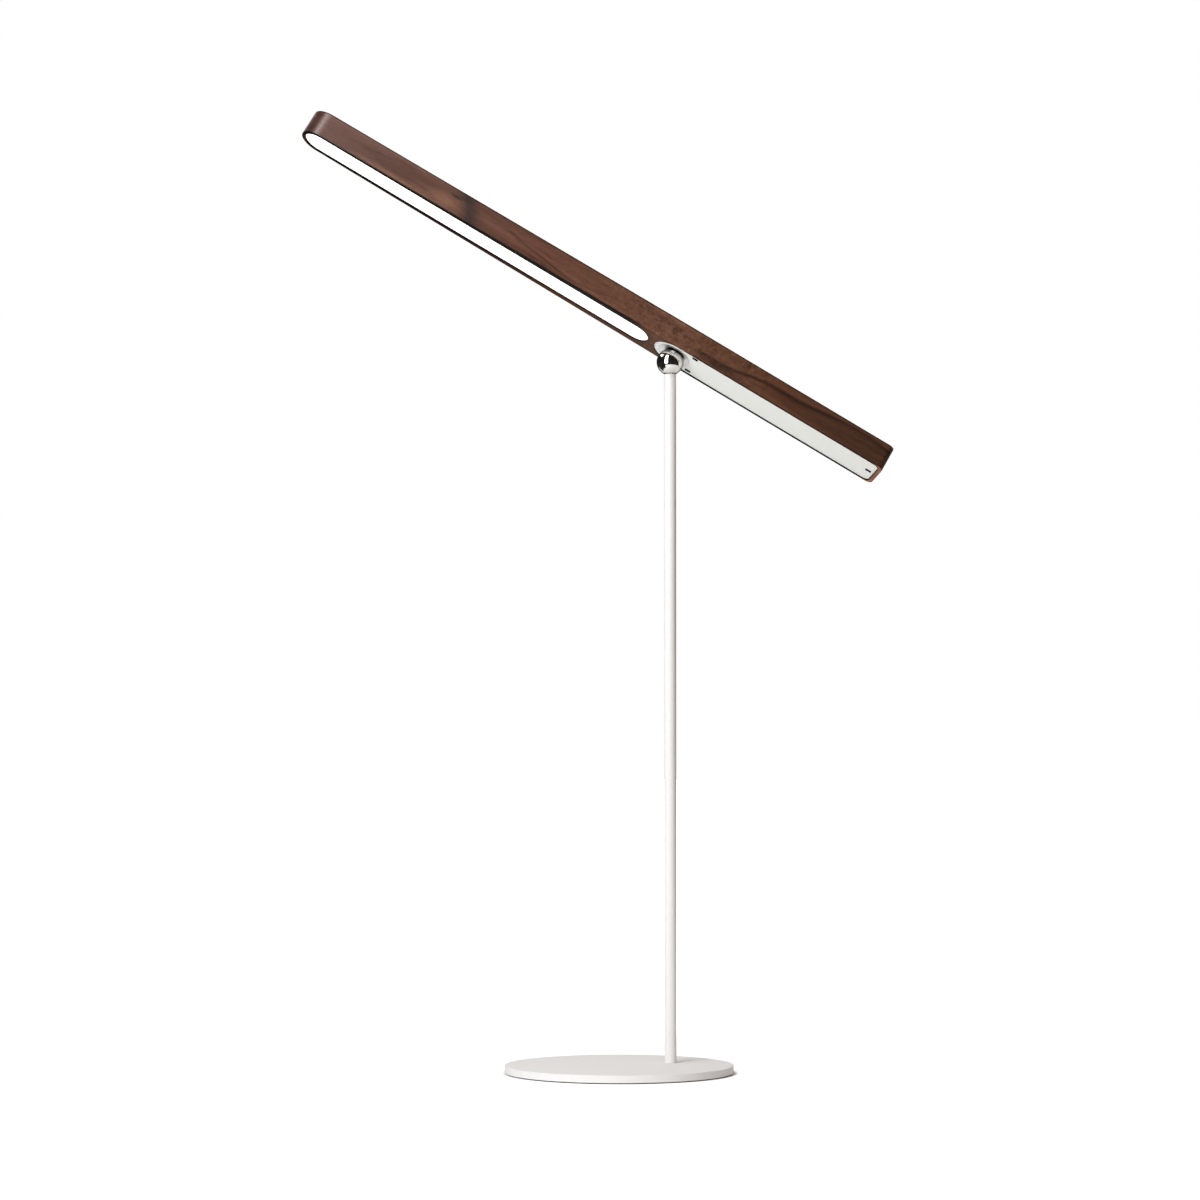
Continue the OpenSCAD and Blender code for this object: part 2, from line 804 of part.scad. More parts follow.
// Section of the cell: a flat block with rounded edges
module cell_section() {
    for (y = [-1, 1], z = [-1, 1])
        translate([z * (cell_t / 2 - cell_r), y * (cell_half - cell_r)])
            circle(r = cell_r);
    square([cell_t, 2 * (cell_half - cell_r)], center = true);
    square([cell_t - 2 * cell_r, 2 * cell_half], center = true);
}

module battery_cell() {
    color([0.78, 0.79, 0.8])
        in_bar() {
            translate([-cell_tail, 0, tray_top + cell_t / 2])
                rotate([0, 90, 0])
                    linear_extrude(height = cell_tail - cell_head)
                        cell_section();
            translate([-cell_tail - cell_lip_l, -cell_half + cell_r, cell_lip_z - cell_lip_t / 2])
                cube([cell_lip_l + cut, 2 * (cell_half - cell_r), cell_lip_t]);
        }
}

module cell_pad() {
    color([0.2, 0.2, 0.22])
        in_bar()
            translate([-cell_tail + cell_pad_free, -cell_pad_w / 2, cell_top])
                cube([cell_tail - cell_pad_free - cell_pad_head, cell_pad_w, pocket_top - cell_top]);
}

module cell_wires() {
    start_x = -cell_tail - cell_lip_l / 2;
    end_x = -board_head - 2 * lead_d;
    arch_z = board_top + 3 * lead_d;
    color([0.7, 0.12, 0.1])
        in_bar()
            for (side = [-1, 1])
                lead([
                    [start_x, side * 2 * lead_d, cell_lip_z + cell_lip_t / 2],
                    [start_x, side * 2 * lead_d, arch_z],
                    [end_x, side * 2 * lead_d, arch_z],
                    [end_x, side * 2 * lead_d, board_top]
                ]);
}

module control_board() {
    color([0.08, 0.32, 0.18])
        in_bar()
            translate([-board_tail, -board_half, board_z])
                cube([board_l, 2 * board_half, board_t]);
}

// A coil between two chips, and a row of capacitors along the middle of the board
module control_parts() {
    middle_x = -(board_head + board_tail) / 2;
    color([0.1, 0.1, 0.11])
        in_bar() {
            translate([middle_x, board_half / 2, board_top])
                cylinder(d = coil_d, h = coil_h);
            for (side = [-1, 1])
                translate([middle_x + side * chip_pitch - chip_w / 2, board_half / 2 - chip_w / 2, board_top])
                    cube([chip_w, chip_w, chip_h]);
            for (i = [-1 : 1])
                translate([middle_x + i * chip_pitch / 2 - capacitor_l / 2, -capacitor_w / 2, board_top])
                    cube([capacitor_l, capacitor_w, chip_h]);
        }
}

module usb_socket() {
    inner_w = inlet_w - 2 * inlet_wall;
    inner_h = inlet_h - 2 * inlet_wall;
    depth = inlet_l - 2 * inlet_wall;
    color([0.72, 0.72, 0.74])
        in_bar()
            translate([inlet_spot, -inlet_mouth, inlet_z])
                rotate([-90, 0, 0]) {
                    difference() {
                        linear_extrude(height = inlet_l)
                            stadium(-inlet_w / 2, inlet_w / 2, inlet_h);
                        translate([0, 0, -cut])
                            linear_extrude(height = depth + cut)
                                stadium(-inner_w / 2, inner_w / 2, inner_h);
                    }
                    translate([-(inner_w - inner_h) / 2, -inlet_tongue_t / 2, inner_h / 2])
                        cube([inner_w - inner_h, inlet_tongue_t, inlet_l - inner_h / 2]);
                }
}

module power_switch() {
    switch_face = plunger_tip - 2 * button_travel;
    color([0.15, 0.15, 0.16])
        in_bar() {
            translate([button_spot - switch_w / 2, -switch_face, board_top])
                cube([switch_w, switch_l, switch_h]);
            rod([button_spot, -switch_face + cut, button_z],
                [button_spot, -plunger_tip, button_z], plunger_d);
        }
}

module led_wires() {
    start_x = -board_head - 4 * lead_d;
    drop_x = strip_start - 3 * lead_d;
    solder_z = led_board_z - lead_d / 2 - glue_gap;
    color([0.85, 0.85, 0.83])
        in_bar()
            for (side = [-1, 1])
                let (run_y = lead_run_y - (1 - side) * lead_d, bore_y = side * lead_half_gap)
                    lead([
                        [start_x, run_y, board_top],
                        [start_x, run_y, lead_run_z],
                        [lead_turn_x - lead_turn_l, run_y, lead_run_z],
                        [lead_turn_x, bore_y, lead_z],
                        [drop_x, bore_y, lead_z],
                        [drop_x, bore_y, solder_z],
                        [strip_start + 2 * lead_d, bore_y, solder_z]
                    ]);
}

module switch_button() {
    color([0.8, 0.8, 0.82])
        in_bar() {
            rod([button_spot, -button_back, button_z],
                [button_spot, -tail_half - button_proud, button_z], button_d);
            rod([button_spot, -button_back, button_z],
                [button_spot, -button_seat, button_z], button_flange_d);
        }
}

base_plate();
base_pad();
stem();
stem_screw();
ball_stud();
joint_ball();
ball_cup();
ball_magnet();
magnet_pot();
wood_body();
cover_plate();
diffuser();
led_board();
leds();
heat_strip();
strip_screws();
battery_tray();
tray_screws();
battery_cell();
cell_pad();
cell_wires();
control_board();
control_parts();
usb_socket();
power_switch();
led_wires();
switch_button();
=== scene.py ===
# %% [markdown]
# # A cordless table lamp in walnut and white steel
#
# The lamp is a walnut bar that hangs on a steel ball at the top of a slim stem. A light strip is let into one
# arm of the bar, and a pale cover plate closes the other. This lesson dresses the lamp's engineering model:
# the model gives every place and size, and each step below adds one surface or one finish to it.

# %% Load the model
import json
import math

import bmesh
import bpy
import numpy as np
from mathutils import Matrix, Vector


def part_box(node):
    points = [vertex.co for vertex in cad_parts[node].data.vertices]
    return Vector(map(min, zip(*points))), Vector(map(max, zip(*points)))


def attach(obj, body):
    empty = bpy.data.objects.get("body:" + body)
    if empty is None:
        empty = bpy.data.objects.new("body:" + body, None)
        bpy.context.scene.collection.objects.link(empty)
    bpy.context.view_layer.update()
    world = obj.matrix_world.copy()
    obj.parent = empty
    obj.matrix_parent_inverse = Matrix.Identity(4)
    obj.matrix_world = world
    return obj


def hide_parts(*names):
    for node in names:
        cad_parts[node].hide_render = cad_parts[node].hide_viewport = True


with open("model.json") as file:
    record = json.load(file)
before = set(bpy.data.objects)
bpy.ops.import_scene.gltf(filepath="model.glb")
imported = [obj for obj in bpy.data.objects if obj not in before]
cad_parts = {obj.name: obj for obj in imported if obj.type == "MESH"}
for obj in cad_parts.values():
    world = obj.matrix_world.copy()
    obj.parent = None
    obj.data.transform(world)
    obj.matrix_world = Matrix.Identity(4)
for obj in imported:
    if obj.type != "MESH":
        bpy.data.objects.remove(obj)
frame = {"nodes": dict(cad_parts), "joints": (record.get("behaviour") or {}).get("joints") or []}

nodes = frame["nodes"]
joints = {j["name"]: j for j in frame["joints"]}
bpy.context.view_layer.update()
mm = 0.001

# %% [markdown]
# ## The bar's own frame
#
# The bar rests tilted and turned, so its sizes are hard to read in the room's axes. They are easy to read along
# the bar itself: x towards the light's tip, y towards the front, z into the wood, from the ball's centre. The
# model's joints hold these directions: the cup spins about z, and the button moves along y.

# %% Read the bar's frame and measure pieces in it
ball_centre = np.array(joints["ball_tilt"]["pos_m"])
bar_z = np.array(joints["cup_spin"]["axis"])
bar_y = np.array(joints["button_press"]["axis"])
bar_z /= np.linalg.norm(bar_z)
bar_y -= bar_z * (bar_y @ bar_z)
bar_y /= np.linalg.norm(bar_y)
bar_axes = np.column_stack([np.cross(bar_y, bar_z), bar_y, bar_z])


def vertices(node):
    """All vertices of a node, as an array of points."""
    mesh = nodes[node].data
    flat = np.empty(3 * len(mesh.vertices))
    mesh.vertices.foreach_get("co", flat)
    return flat.reshape(-1, 3)


def bar_box(node):
    """Lowest and highest corner of a node along the bar's axes: its vertices minus the ball's centre, turned."""
    own = (vertices(node) - ball_centre) @ bar_axes
    return own.min(0), own.max(0)


def to_room(points):
    """Points given along the bar's axes, in the room: turned, then moved to the ball's centre."""
    return points @ bar_axes.T + ball_centre


print("the bar spans", np.round(np.array(bar_box("wood_body")) / mm, 2).tolist(), "mm along its own axes")

# %% [markdown]
# ## From grids of points to a skin
#
# Every new surface here is a grid of points that a formula gives, so one helper turns grids into faces. Where
# two grids share an edge their points coincide, and merging them closes the skin. Blender then shades it
# smooth, and keeps as sharp only the edges that really turn a corner.

# %% Helpers that make a mesh
same_point, no_edge = 2e-7, 1e-7
sharp_turn = 35.0


def faces_of(rows, columns, around):
    """Corner numbers of a grid's quads: (i, j), (i, j+1), (i+1, j+1), (i+1, j); around closes each row."""
    i = np.arange(rows - 1)[:, None]
    j = np.arange(columns if around else columns - 1)[None, :]
    k = (j + 1) % columns
    quads = [i * columns + j, i * columns + k, (i + 1) * columns + k, (i + 1) * columns + j]
    return np.stack(quads, -1).reshape(-1, 4)


def corner_numbers(mesh, what):
    """For every corner of every face, the number of its vertex or of its edge, as one array."""
    numbers = np.empty(len(mesh.loops), np.int32)
    mesh.loops.foreach_get(what, numbers)
    return numbers


def closed(name, points, faces, sharp=sharp_turn):
    """One object from points and faces: points that coincide become one, and faces point outwards."""
    mesh = bpy.data.meshes.new(name)
    mesh.from_pydata(points.tolist(), [], faces.tolist())
    work = bmesh.new()
    work.from_mesh(mesh)
    bmesh.ops.remove_doubles(work, verts=work.verts, dist=same_point)
    bmesh.ops.dissolve_degenerate(work, edges=work.edges, dist=no_edge)
    bmesh.ops.recalc_face_normals(work, faces=work.faces)
    work.to_mesh(mesh)
    work.free()
    mesh.shade_smooth()
    mesh.set_sharp_from_angle(angle=math.radians(sharp))
    piece = bpy.data.objects.new(name, mesh)
    bpy.context.scene.collection.objects.link(piece)
    faces_per_edge = np.bincount(corner_numbers(mesh, "edge_index"), minlength=len(mesh.edges))
    print(name, len(mesh.polygons), "faces,", np.sum(faces_per_edge != 2), "edges that don't close")
    return piece


def skin(name, grids, sharp=sharp_turn):
    """One object from several grids, each an array (rows, columns, 3) whose rows are closed loops."""
    points = np.concatenate([g.reshape(-1, 3) for g in grids])
    starts = np.cumsum([0] + [g.shape[0] * g.shape[1] for g in grids])
    quads = np.concatenate([faces_of(*g.shape[:2], True) + s for g, s in zip(grids, starts)])
    return closed(name, points, quads, sharp)


def round_edge(corner, start, stop, radius, steps=6):
    """Quarter-round between two directions: corner + radius * (start + stop - start * sin t - stop * cos t)."""
    t = np.linspace(0, np.pi / 2, steps)[:, None]
    a, b = np.array(start, float), np.array(stop, float)
    return np.array(corner) + radius * (a + b - a * np.sin(t) - b * np.cos(t))


print("an edge stays sharp where it turns by more than", sharp_turn, "degrees")

# %% [markdown]
# ## Turned pieces: base, stem and ball
#
# A lathe turns a profile about an axis, and so does this helper. The base plate, its rubber pad, the stem and
# the ball are all turned on the real lamp. A plain cylinder has knife edges that no painted part has, so each
# profile carries a small round at its edges: that is where a thin line of light runs along the real rim.

# %% The lathe
def turned(profile, axes=np.eye(3), origin=(0, 0, 0), steps=160):
    """Surface of revolution: a profile point (r, z) becomes the circle (r cos a, r sin a, z) about z."""
    a = np.linspace(0, 2 * np.pi, steps, endpoint=False)
    r, z = np.array(profile)[:, 0, None], np.array(profile)[:, 1, None]
    ring = np.stack([r * np.cos(a), r * np.sin(a), z + 0 * a], -1)
    return ring @ np.asarray(axes).T + np.asarray(origin)


def soft_disc(radius, low, high, edge, hold=0.15 * mm):
    """Profile of a disc with rounded edges: centre, lower edge, wall, upper edge, centre. A row at hold from
    each round keeps the flats flat."""
    lower = round_edge((radius, low), (-1, 0), (0, 1), edge)
    upper = round_edge((radius, high), (0, -1), (-1, 0), edge)
    return np.vstack([
        [(0, low), (radius - edge - hold, low)], lower,
        [(radius, low + edge + hold), (radius, high - edge - hold)], upper,
        [(radius - edge - hold, high), (0, high)],
    ])


print("a disc's profile has", len(soft_disc(1.0, 0.0, 1.0, 0.1)), "points")

# %% The base plate, its pad and the stem
base_edge, pad_edge, stem_edge = 0.4 * mm, 0.25 * mm, 0.3 * mm
disc_steps, stem_steps = 288, 96
low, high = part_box("base_plate")
base = skin("base_disc", [turned(soft_disc(high.x, low.z, high.z, base_edge), steps=disc_steps)])
low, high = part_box("base_pad")
pad = skin("base_cushion_ring", [turned(soft_disc(high.x, low.z, high.z, pad_edge), steps=disc_steps)])
low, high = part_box("stem")
stem_at = ((low.x + high.x) / 2, (low.y + high.y) / 2, 0)
stem_r = (high.x - low.x) / 2
stem_profile = soft_disc(stem_r, low.z, high.z, stem_edge)
stem = skin("stem_rod", [turned(stem_profile, origin=stem_at, steps=stem_steps)])
for piece, node in ((base, "base_plate"), (pad, "base_pad"), (stem, "stem")):
    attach(piece, "stand")
    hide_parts(node)
print("stem of", round(2 * stem_r / mm, 2), "mm at", np.round(stem_at, 4))

# %% [markdown]
# ## The steel ball
#
# A polished ball shows everything around it, so its surface must be truly round: facets would break up the
# reflections. It is a meridian from the top pole to the flat where it meets the stem, turned about the stem.

# %% The ball
low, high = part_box("joint_ball")
ball_r = (high.x - low.x) / 2
ball_foot = low.z
flat_angle = math.acos((low.z - ball_centre[2]) / ball_r)
polar = np.linspace(0, flat_angle, 80)
meridian = np.column_stack([ball_r * np.sin(polar), ball_r * np.cos(polar)])
ball_profile = np.vstack([meridian, [(0, meridian[-1, 1])]])
ball = skin("polished_ball", [turned(ball_profile, origin=ball_centre, steps=128)])
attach(ball, "ball")
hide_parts("joint_ball")
print("ball of", round(2 * ball_r / mm, 2), "mm")

# %% [markdown]
# ## The cup that the ball sits in
#
# The ball's seat is a steel dish in the bar's underside. A thin lip meets the cover plate, then a shallow
# dish falls towards the ball, and the seat itself follows the ball with a hair of room. The profile is drawn
# outwards from the ball and turned about the cup's own axis, which is the bar's z. Dish and seat are parts of
# two spheres, and the circle where the spheres cross is the edge between them.

# %% The cup
low, high = bar_box("ball_cup")
cup_r, cup_face, cup_back = high[0], low[2], high[2]
seat_r, lip, lip_edge, dish_depth = ball_r + 0.25 * mm, 0.5 * mm, 0.15 * mm, 1.5 * mm
dish_r = cup_r - lip
dish_ball = (dish_r**2 + dish_depth**2) / (2 * dish_depth)
dish_z = cup_face + dish_depth - dish_ball
meet_z = (seat_r**2 - dish_ball**2 + dish_z**2) / (2 * dish_z)
meet_r = math.sqrt(seat_r**2 - meet_z**2)
seat_a = np.linspace(0, math.asin(meet_r / seat_r), 24)
dish_a = np.linspace(math.asin(meet_r / dish_ball), math.asin(dish_r / dish_ball), 24)
cup_profile = np.vstack([
    np.column_stack([seat_r * np.sin(seat_a), seat_r * np.cos(seat_a)]),
    np.column_stack([dish_ball * np.sin(dish_a), dish_z + dish_ball * np.cos(dish_a)]),
    round_edge((cup_r, cup_face), (-1, 0), (0, 1), lip_edge),
    [(cup_r, cup_back), (0, cup_back)],
])
cup = skin("ball_dish", [turned(cup_profile, bar_axes, ball_centre, 160)], sharp=20)
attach(cup, "socket")
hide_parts("ball_cup")
print("dish of", round(2 * dish_r / mm, 1), "mm; the seat starts at", round(2 * meet_r / mm, 1), "mm")

# %% [markdown]
# ## The plan of the walnut bar
#
# Seen from below the bar is a long blade: straight sides that narrow a little towards a fully round tip, and a
# flat end with small corners. Two openings are let into the underside, a long slot for the light and a recess
# for the plate. A rectangular grid can't follow both, so rays run from the middle of each opening to the bar's
# edge. A ray crosses the opening's rim and the outline once each, and the points between make the grid.

# %% The outline as a distance
(tail_x, _, rim_z), (tip_end, tail_half, top_z) = bar_box("wood_body")
tail_reach = -tail_x
tip_r, tail_corner = 13.1 * mm, 4.5 * mm
tip_x = tip_end - tip_r
slant = math.acos(tip_r / math.hypot(tail_half, tip_x)) - math.atan2(tip_x, tail_half)
ray_length, halvings = 0.6, 55


def outline_gap(q):
    """Distance in plan to the outline, negative inside. On the light arm it is the distance to the slanted side,
    or to the tip's circle past the line where both touch; on the short arm that of a box with round corners."""
    x, y = q[:, 0], np.abs(q[:, 1])
    side = x * math.sin(slant) + (y - tail_half) * math.cos(slant)
    tip = np.hypot(x - tip_x, y) - tip_r
    arm = np.where((x - tip_x) * math.cos(slant) > y * math.sin(slant), tip, side)
    u, v = -x - tail_reach + tail_corner, y - tail_half + tail_corner
    tail = np.hypot(np.maximum(u, 0), np.maximum(v, 0)) + np.minimum(np.maximum(u, v), 0) - tail_corner
    return np.where(x > 0, arm, tail)


def outline_hit(start, heading, inset):
    """Where rays meet the outline moved in by inset, by halving the stretch that holds the crossing."""
    near, far = np.zeros(len(start)), np.full(len(start), ray_length)
    for _ in range(halvings):
        middle = (near + far) / 2
        inside = outline_gap(start + middle[:, None] * heading) < -inset
        near, far = np.where(inside, middle, near), np.where(inside, far, middle)
    return start + near[:, None] * heading


def outline_normal(q, nudge=1e-7):
    """Outward direction of the outline at q: the slope of the distance along x and along y."""
    dx, dy = np.array([[nudge, 0]]), np.array([[0, nudge]])
    slope = np.column_stack([outline_gap(q + d) - outline_gap(q - d) for d in (dx, dy)])
    return slope / np.linalg.norm(slope, axis=1, keepdims=True)


print("sides close in by", round(2 * math.degrees(slant), 2), "degrees")

# %% Helpers that make rays
def ray_rows(starts, headings, radius):
    """Rays as rows: the start x and y, the heading x and y, and the rim's radius."""
    starts, headings = np.broadcast_arrays(starts, headings)
    return np.column_stack([starts, headings, np.full(len(starts), radius)])


def fan(x, y, radius, start, stop, count):
    """Rays from one point: their headings are (cos a, sin a) of angles spread evenly between two angles."""
    a = np.radians(np.linspace(start, stop, count))
    return ray_rows((x, y), np.column_stack([np.cos(a), np.sin(a)]), radius)


def comb(start, stop, heading, radius, count):
    """Parallel rays from points spread evenly between two points."""
    t = np.linspace(0, 1, count)[:, None]
    return ray_rows((1 - t) * np.array(start) + t * np.array(stop), heading, radius)


def towards(points, x, radius):
    """Rays from (x, 0) to given points: each heading is the run to the point over its length."""
    run = points - np.array([x, 0.0])
    return ray_rows((x, 0.0), run / np.linalg.norm(run, axis=1, keepdims=True), radius)


def mirrored(rays):
    """The same rays on the other side of the bar, in the reverse order."""
    return (rays * np.array([1, -1, 1, -1, 1]))[::-1]


def angle_to(x, y):
    """Angle of the direction (x, y) from the x axis, in degrees."""
    return math.degrees(math.atan2(y, x))


print("each ray is a row of", fan(0, 0, 1, 0, 90, 2).shape[1], "numbers")

# %% Rays from the light slot and from the plate's recess
edge_r, rim_r, glue = 0.5 * mm, 0.25 * mm, 0.1 * mm
slot_low, slot_high = bar_box("diffuser")
slot_r = slot_high[1] + glue
slot_a, slot_b = slot_low[0] - glue + slot_r, slot_high[0] + glue - slot_r
plate_low, plate_high = bar_box("cover_plate")
plate_r, plate_corner = plate_high[1] + glue, 4.6 * mm
plate_end = -plate_low[0] + glue - plate_corner
bridge_x = (slot_a - slot_r + plate_r) / 2
bridge_y = outline_hit(np.array([[bridge_x, 0.0]]), np.array([[0.0, 1.0]]), edge_r)[0, 1]
bridge = np.column_stack([np.full(25, bridge_x), np.linspace(bridge_y, -bridge_y, 25)])
slot_top = np.vstack([
    fan(slot_b, 0, slot_r, 0, 90, 28),
    comb((slot_b, 0), (slot_a, 0), (0, 1), slot_r, 42)[1:-1],
    fan(slot_a, 0, slot_r, 90, angle_to(bridge_x - slot_a, bridge_y), 10),
])
plate_top = np.vstack([
    fan(0, 0, plate_r, angle_to(bridge_x, bridge_y), 90, 12)[1:],
    comb((0, 0), (-plate_end, 0), (0, 1), plate_r, 30)[1:-1],
    fan(-plate_end, plate_r - plate_corner, plate_corner, 90, 180, 14),
    comb((-plate_end, plate_r - plate_corner), (-plate_end, 0), (-1, 0), plate_corner, 8)[1:],
])
print(len(slot_top), "rays on the light arm and", len(plate_top), "on the short arm, on each side")

# %% [markdown]
# ## The walnut bar
#
# The bar is milled from one stick: the outline with a softened edge, the two openings with a finer one. Six
# grids on the same rays make it: the wall, the top, the underside round each opening, and the two openings
# going down into the wood. They share their edge points, so the skin closes.

# %% Loops of the bar
slot_rays = np.vstack([mirrored(slot_top)[:-1], slot_top, towards(bridge[1:-1], slot_a, slot_r)])
plate_rays = np.vstack([plate_top, mirrored(plate_top)[1:], towards(bridge[::-1], 0.0, plate_r)])
slot_n, plate_n = 2 * len(slot_top) - 1, 2 * len(plate_top) - 1
slot_hit = outline_hit(slot_rays[:slot_n, :2], slot_rays[:slot_n, 2:4], edge_r)
plate_hit = outline_hit(plate_rays[:plate_n, :2], plate_rays[:plate_n, 2:4], edge_r)
slot_hit[[0, -1]] = bridge[[-1, 0]]
slot_out, plate_out = np.vstack([slot_hit, bridge[1:-1]]), np.vstack([plate_hit, bridge[::-1]])
edge_loop = np.vstack([slot_hit, plate_hit])
edge_normal = outline_normal(edge_loop)


def level(plan, z):
    """Lifts a loop of plan points to a height."""
    return np.column_stack([plan, np.full(len(plan), z)])


def wall_row(inset, z):
    """Loop on the outer wall: the outline moved out from its inset place along its normal."""
    return level(edge_loop + (edge_r - inset) * edge_normal, z)


def rim_row(rays, grow, z):
    """Loop on an opening's rim: each ray's start plus its radius and a growth along its heading."""
    return level(rays[:, :2] + (rays[:, 4:5] + grow) * rays[:, 2:4], z)


def under_rows(rays, out):
    """Underside round an opening: from its softened rim to the outline's softened edge."""
    rim = rim_row(rays, rim_r, rim_z)
    return [(1 - t) * rim + t * level(out, rim_z) for t in (0, 0.06, 0.94, 1)]


def opening_rows(rays, ledge_z, ledge, floor_z, middle):
    """Down an opening: its softened rim, its wall, a ledge, the pocket behind, a floor drawn to the middle."""
    rim = round_edge((0, rim_z), (1, 0), (0, 1), rim_r, 4)
    rows = [rim_row(rays, g, z) for g, z in rim] + [rim_row(rays, 0, ledge_z)]
    inner = rim_row(rays, 0, ledge_z)[:, :2] * (1 - ledge) + middle * ledge
    return rows + [level(inner, ledge_z), level(inner, floor_z), level(middle, floor_z)]


print("the outline has", len(edge_loop), "points")

# %% The bar's skin
wall_hold, roof, light_depth = 0.12 * mm, 3.5 * mm, 8 * mm
slot_ledge, plate_ledge = 0.18, 0.12
lower = round_edge((0, rim_z), (1, 0), (0, 1), edge_r)
upper = round_edge((0, top_z), (0, -1), (1, 0), edge_r)
wall = [(0, rim_z + edge_r + wall_hold), (0, top_z - edge_r - wall_hold)]
wall_rows = [wall_row(inset, z) for inset, z in np.vstack([lower, wall, upper])]
spine = np.column_stack([np.clip(edge_loop[:, 0], -tail_reach + tail_half, tip_x), 0 * edge_loop[:, 0]])
top_rows = [level((1 - t) * edge_loop + t * spine, top_z) for t in (0, 0.02, 1)]
slot_mid = slot_rays[:, :2]
plate_mid = np.column_stack([np.maximum(plate_rays[:, 0], -plate_end + plate_r), 0 * plate_rays[:, 1]])
wood_grids = [
    wall_rows, top_rows, under_rows(slot_rays, slot_out), under_rows(plate_rays, plate_out),
    opening_rows(slot_rays, slot_high[2], slot_ledge, slot_high[2] + light_depth, slot_mid),
    opening_rows(plate_rays, plate_high[2], plate_ledge, top_z - roof, plate_mid),
]
wood = skin("walnut_bar", [to_room(np.array(g)) for g in wood_grids])

# %% [markdown]
# ## Openings in the far side
#
# The charging inlet and the button come through the bar's far long side. Their holes cross the finished wall, so
# they are cut the way a router would: a closed cutter of the hole's shape is taken away from the wood.

# %% Cut the inlet's slot and the button's bore
def prism(name, hub, loop, heights, place):
    """Closed prism: a loop drawn out of its hub at the first height, carried to the last and drawn in again.
    place makes points along the bar's axes from plan points and a height."""
    first, last = heights
    ends = ((first, 0), (first, 1), (last, 1), (last, 0))
    return skin(name, [to_room(np.array([place(hub + s * (loop - hub), h) for h, s in ends]))])


def stadium_loop(half_long, half_high, count=48):
    """Closed outline with two round ends: a circle of half_high whose halves are drawn apart."""
    a = np.linspace(0, 2 * np.pi, count, endpoint=False) + np.pi / count
    shift = np.sign(np.cos(a)) * (half_long - half_high)
    return np.column_stack([shift + half_high * np.cos(a), half_high * np.sin(a)])


def side_cutter(name, node, grow):
    """Prism through the far wall, round a node's own outline along the bar's y."""
    low, high = bar_box(node)
    middle, half = (low + high) / 2, (high - low) / 2
    long, tall = half[0] + grow, half[2] + grow
    hub = middle[[0, 2]]
    loop = hub + stadium_loop(max(long, tall), tall)
    through = (-tail_half - 2 * mm, -tail_half + 4 * mm)
    return prism(name, hub, loop, through, lambda q, y: np.insert(q, 1, y, axis=1))


def cut(piece, tool):
    """Takes a closed tool away from a piece and keeps the result as the piece's own mesh."""
    modifier = piece.modifiers.new("cut", "BOOLEAN")
    modifier.object, modifier.operation, modifier.solver = tool, "DIFFERENCE", "EXACT"
    done = piece.evaluated_get(bpy.context.evaluated_depsgraph_get())
    piece.data = bpy.data.meshes.new_from_object(done)
    piece.modifiers.clear()
    bpy.data.objects.remove(tool)


flange, button_room = 0.9 * mm, 0.08 * mm
cut(wood, side_cutter("inlet_cutter", "usb_socket", glue))
cut(wood, side_cutter("button_cutter", "switch_button", button_room - flange))
wood.data.set_sharp_from_angle(angle=math.radians(sharp_turn))
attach(wood, "lamp_bar")
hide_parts("wood_body")
print("the cut bar has", len(wood.data.polygons), "faces")

# %% [markdown]
# ## The cover plate
#
# The plate is a flat blank with three slots, and the model's own plate is right apart from its end corners,
# which are rounder on the real lamp. So a copy of it is closed into one skin, and two cutters take the corners
# off, as a file would.

# %% Round the plate's corners
def corner_cutter(name, side, radius):
    """Prism outside a quarter circle: centre + radius * (-sin t, side * cos t), closed past the corner."""
    t = np.linspace(0, np.pi / 2, 20)
    centre = np.array([plate_low[0] + radius, side * (plate_high[1] - radius)])
    arc = centre + radius * np.column_stack([-np.sin(t), side * np.cos(t)])
    past = np.array([plate_low[0] - mm, side * (plate_high[1] + mm)])
    loop = np.vstack([arc, [(past[0], arc[-1, 1]), past, (arc[0, 0], past[1])]])
    hub = past + 0.3 * mm * np.array([1, -side])
    return prism(name, hub, loop, (plate_low[2] - mm, plate_high[2] + mm), level)


blank = corner_numbers(nodes["cover_plate"].data, "vertex_index").reshape(-1, 3)
cover = closed("pale_cover", vertices("cover_plate"), blank)
for side in (-1, 1):
    cut(cover, corner_cutter("corner_cutter", side, plate_corner - glue))
cover.data.set_sharp_from_angle(angle=math.radians(sharp_turn))
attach(cover, "lamp_bar")
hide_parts("cover_plate")
print("the plate has", len(cover.data.polygons), "faces")

# %% [markdown]
# ## The light's diffuser
#
# The diffuser is an opal strip with round ends that lies just inside the slot. Its outline is the slot's with a
# gap of glue, its face is flat, and a small round at its edge lets the light fall off softly at the rim.

# %% The diffuser
strip_r, strip_edge = slot_r - glue, 0.35 * mm
strip_rays = np.vstack([
    fan(slot_b, 0, strip_r, -90, 90, 48), comb((slot_b, 0), (slot_a, 0), (0, 1), strip_r, 60)[1:-1],
    fan(slot_a, 0, strip_r, 90, 270, 48), comb((slot_a, 0), (slot_b, 0), (0, -1), strip_r, 60)[1:-1],
])
face_z, back_z = slot_low[2], slot_high[2]
strip_mid = strip_rays[:, :2]
strip_rows = (
    [level(strip_mid, face_z), rim_row(strip_rays, -strip_edge - wall_hold, face_z)]
    + [rim_row(strip_rays, -inset, z) for inset, z in round_edge((0, face_z), (1, 0), (0, 1), strip_edge)]
    + [rim_row(strip_rays, 0, back_z), level(strip_mid, back_z)]
)
diffuser = skin("opal_strip", [to_room(np.array(strip_rows))])
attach(diffuser, "lamp_bar")
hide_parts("diffuser")
print("strip of", round((slot_high[0] - slot_low[0]) / mm, 1), "by", round(2 * strip_r / mm, 1), "mm")

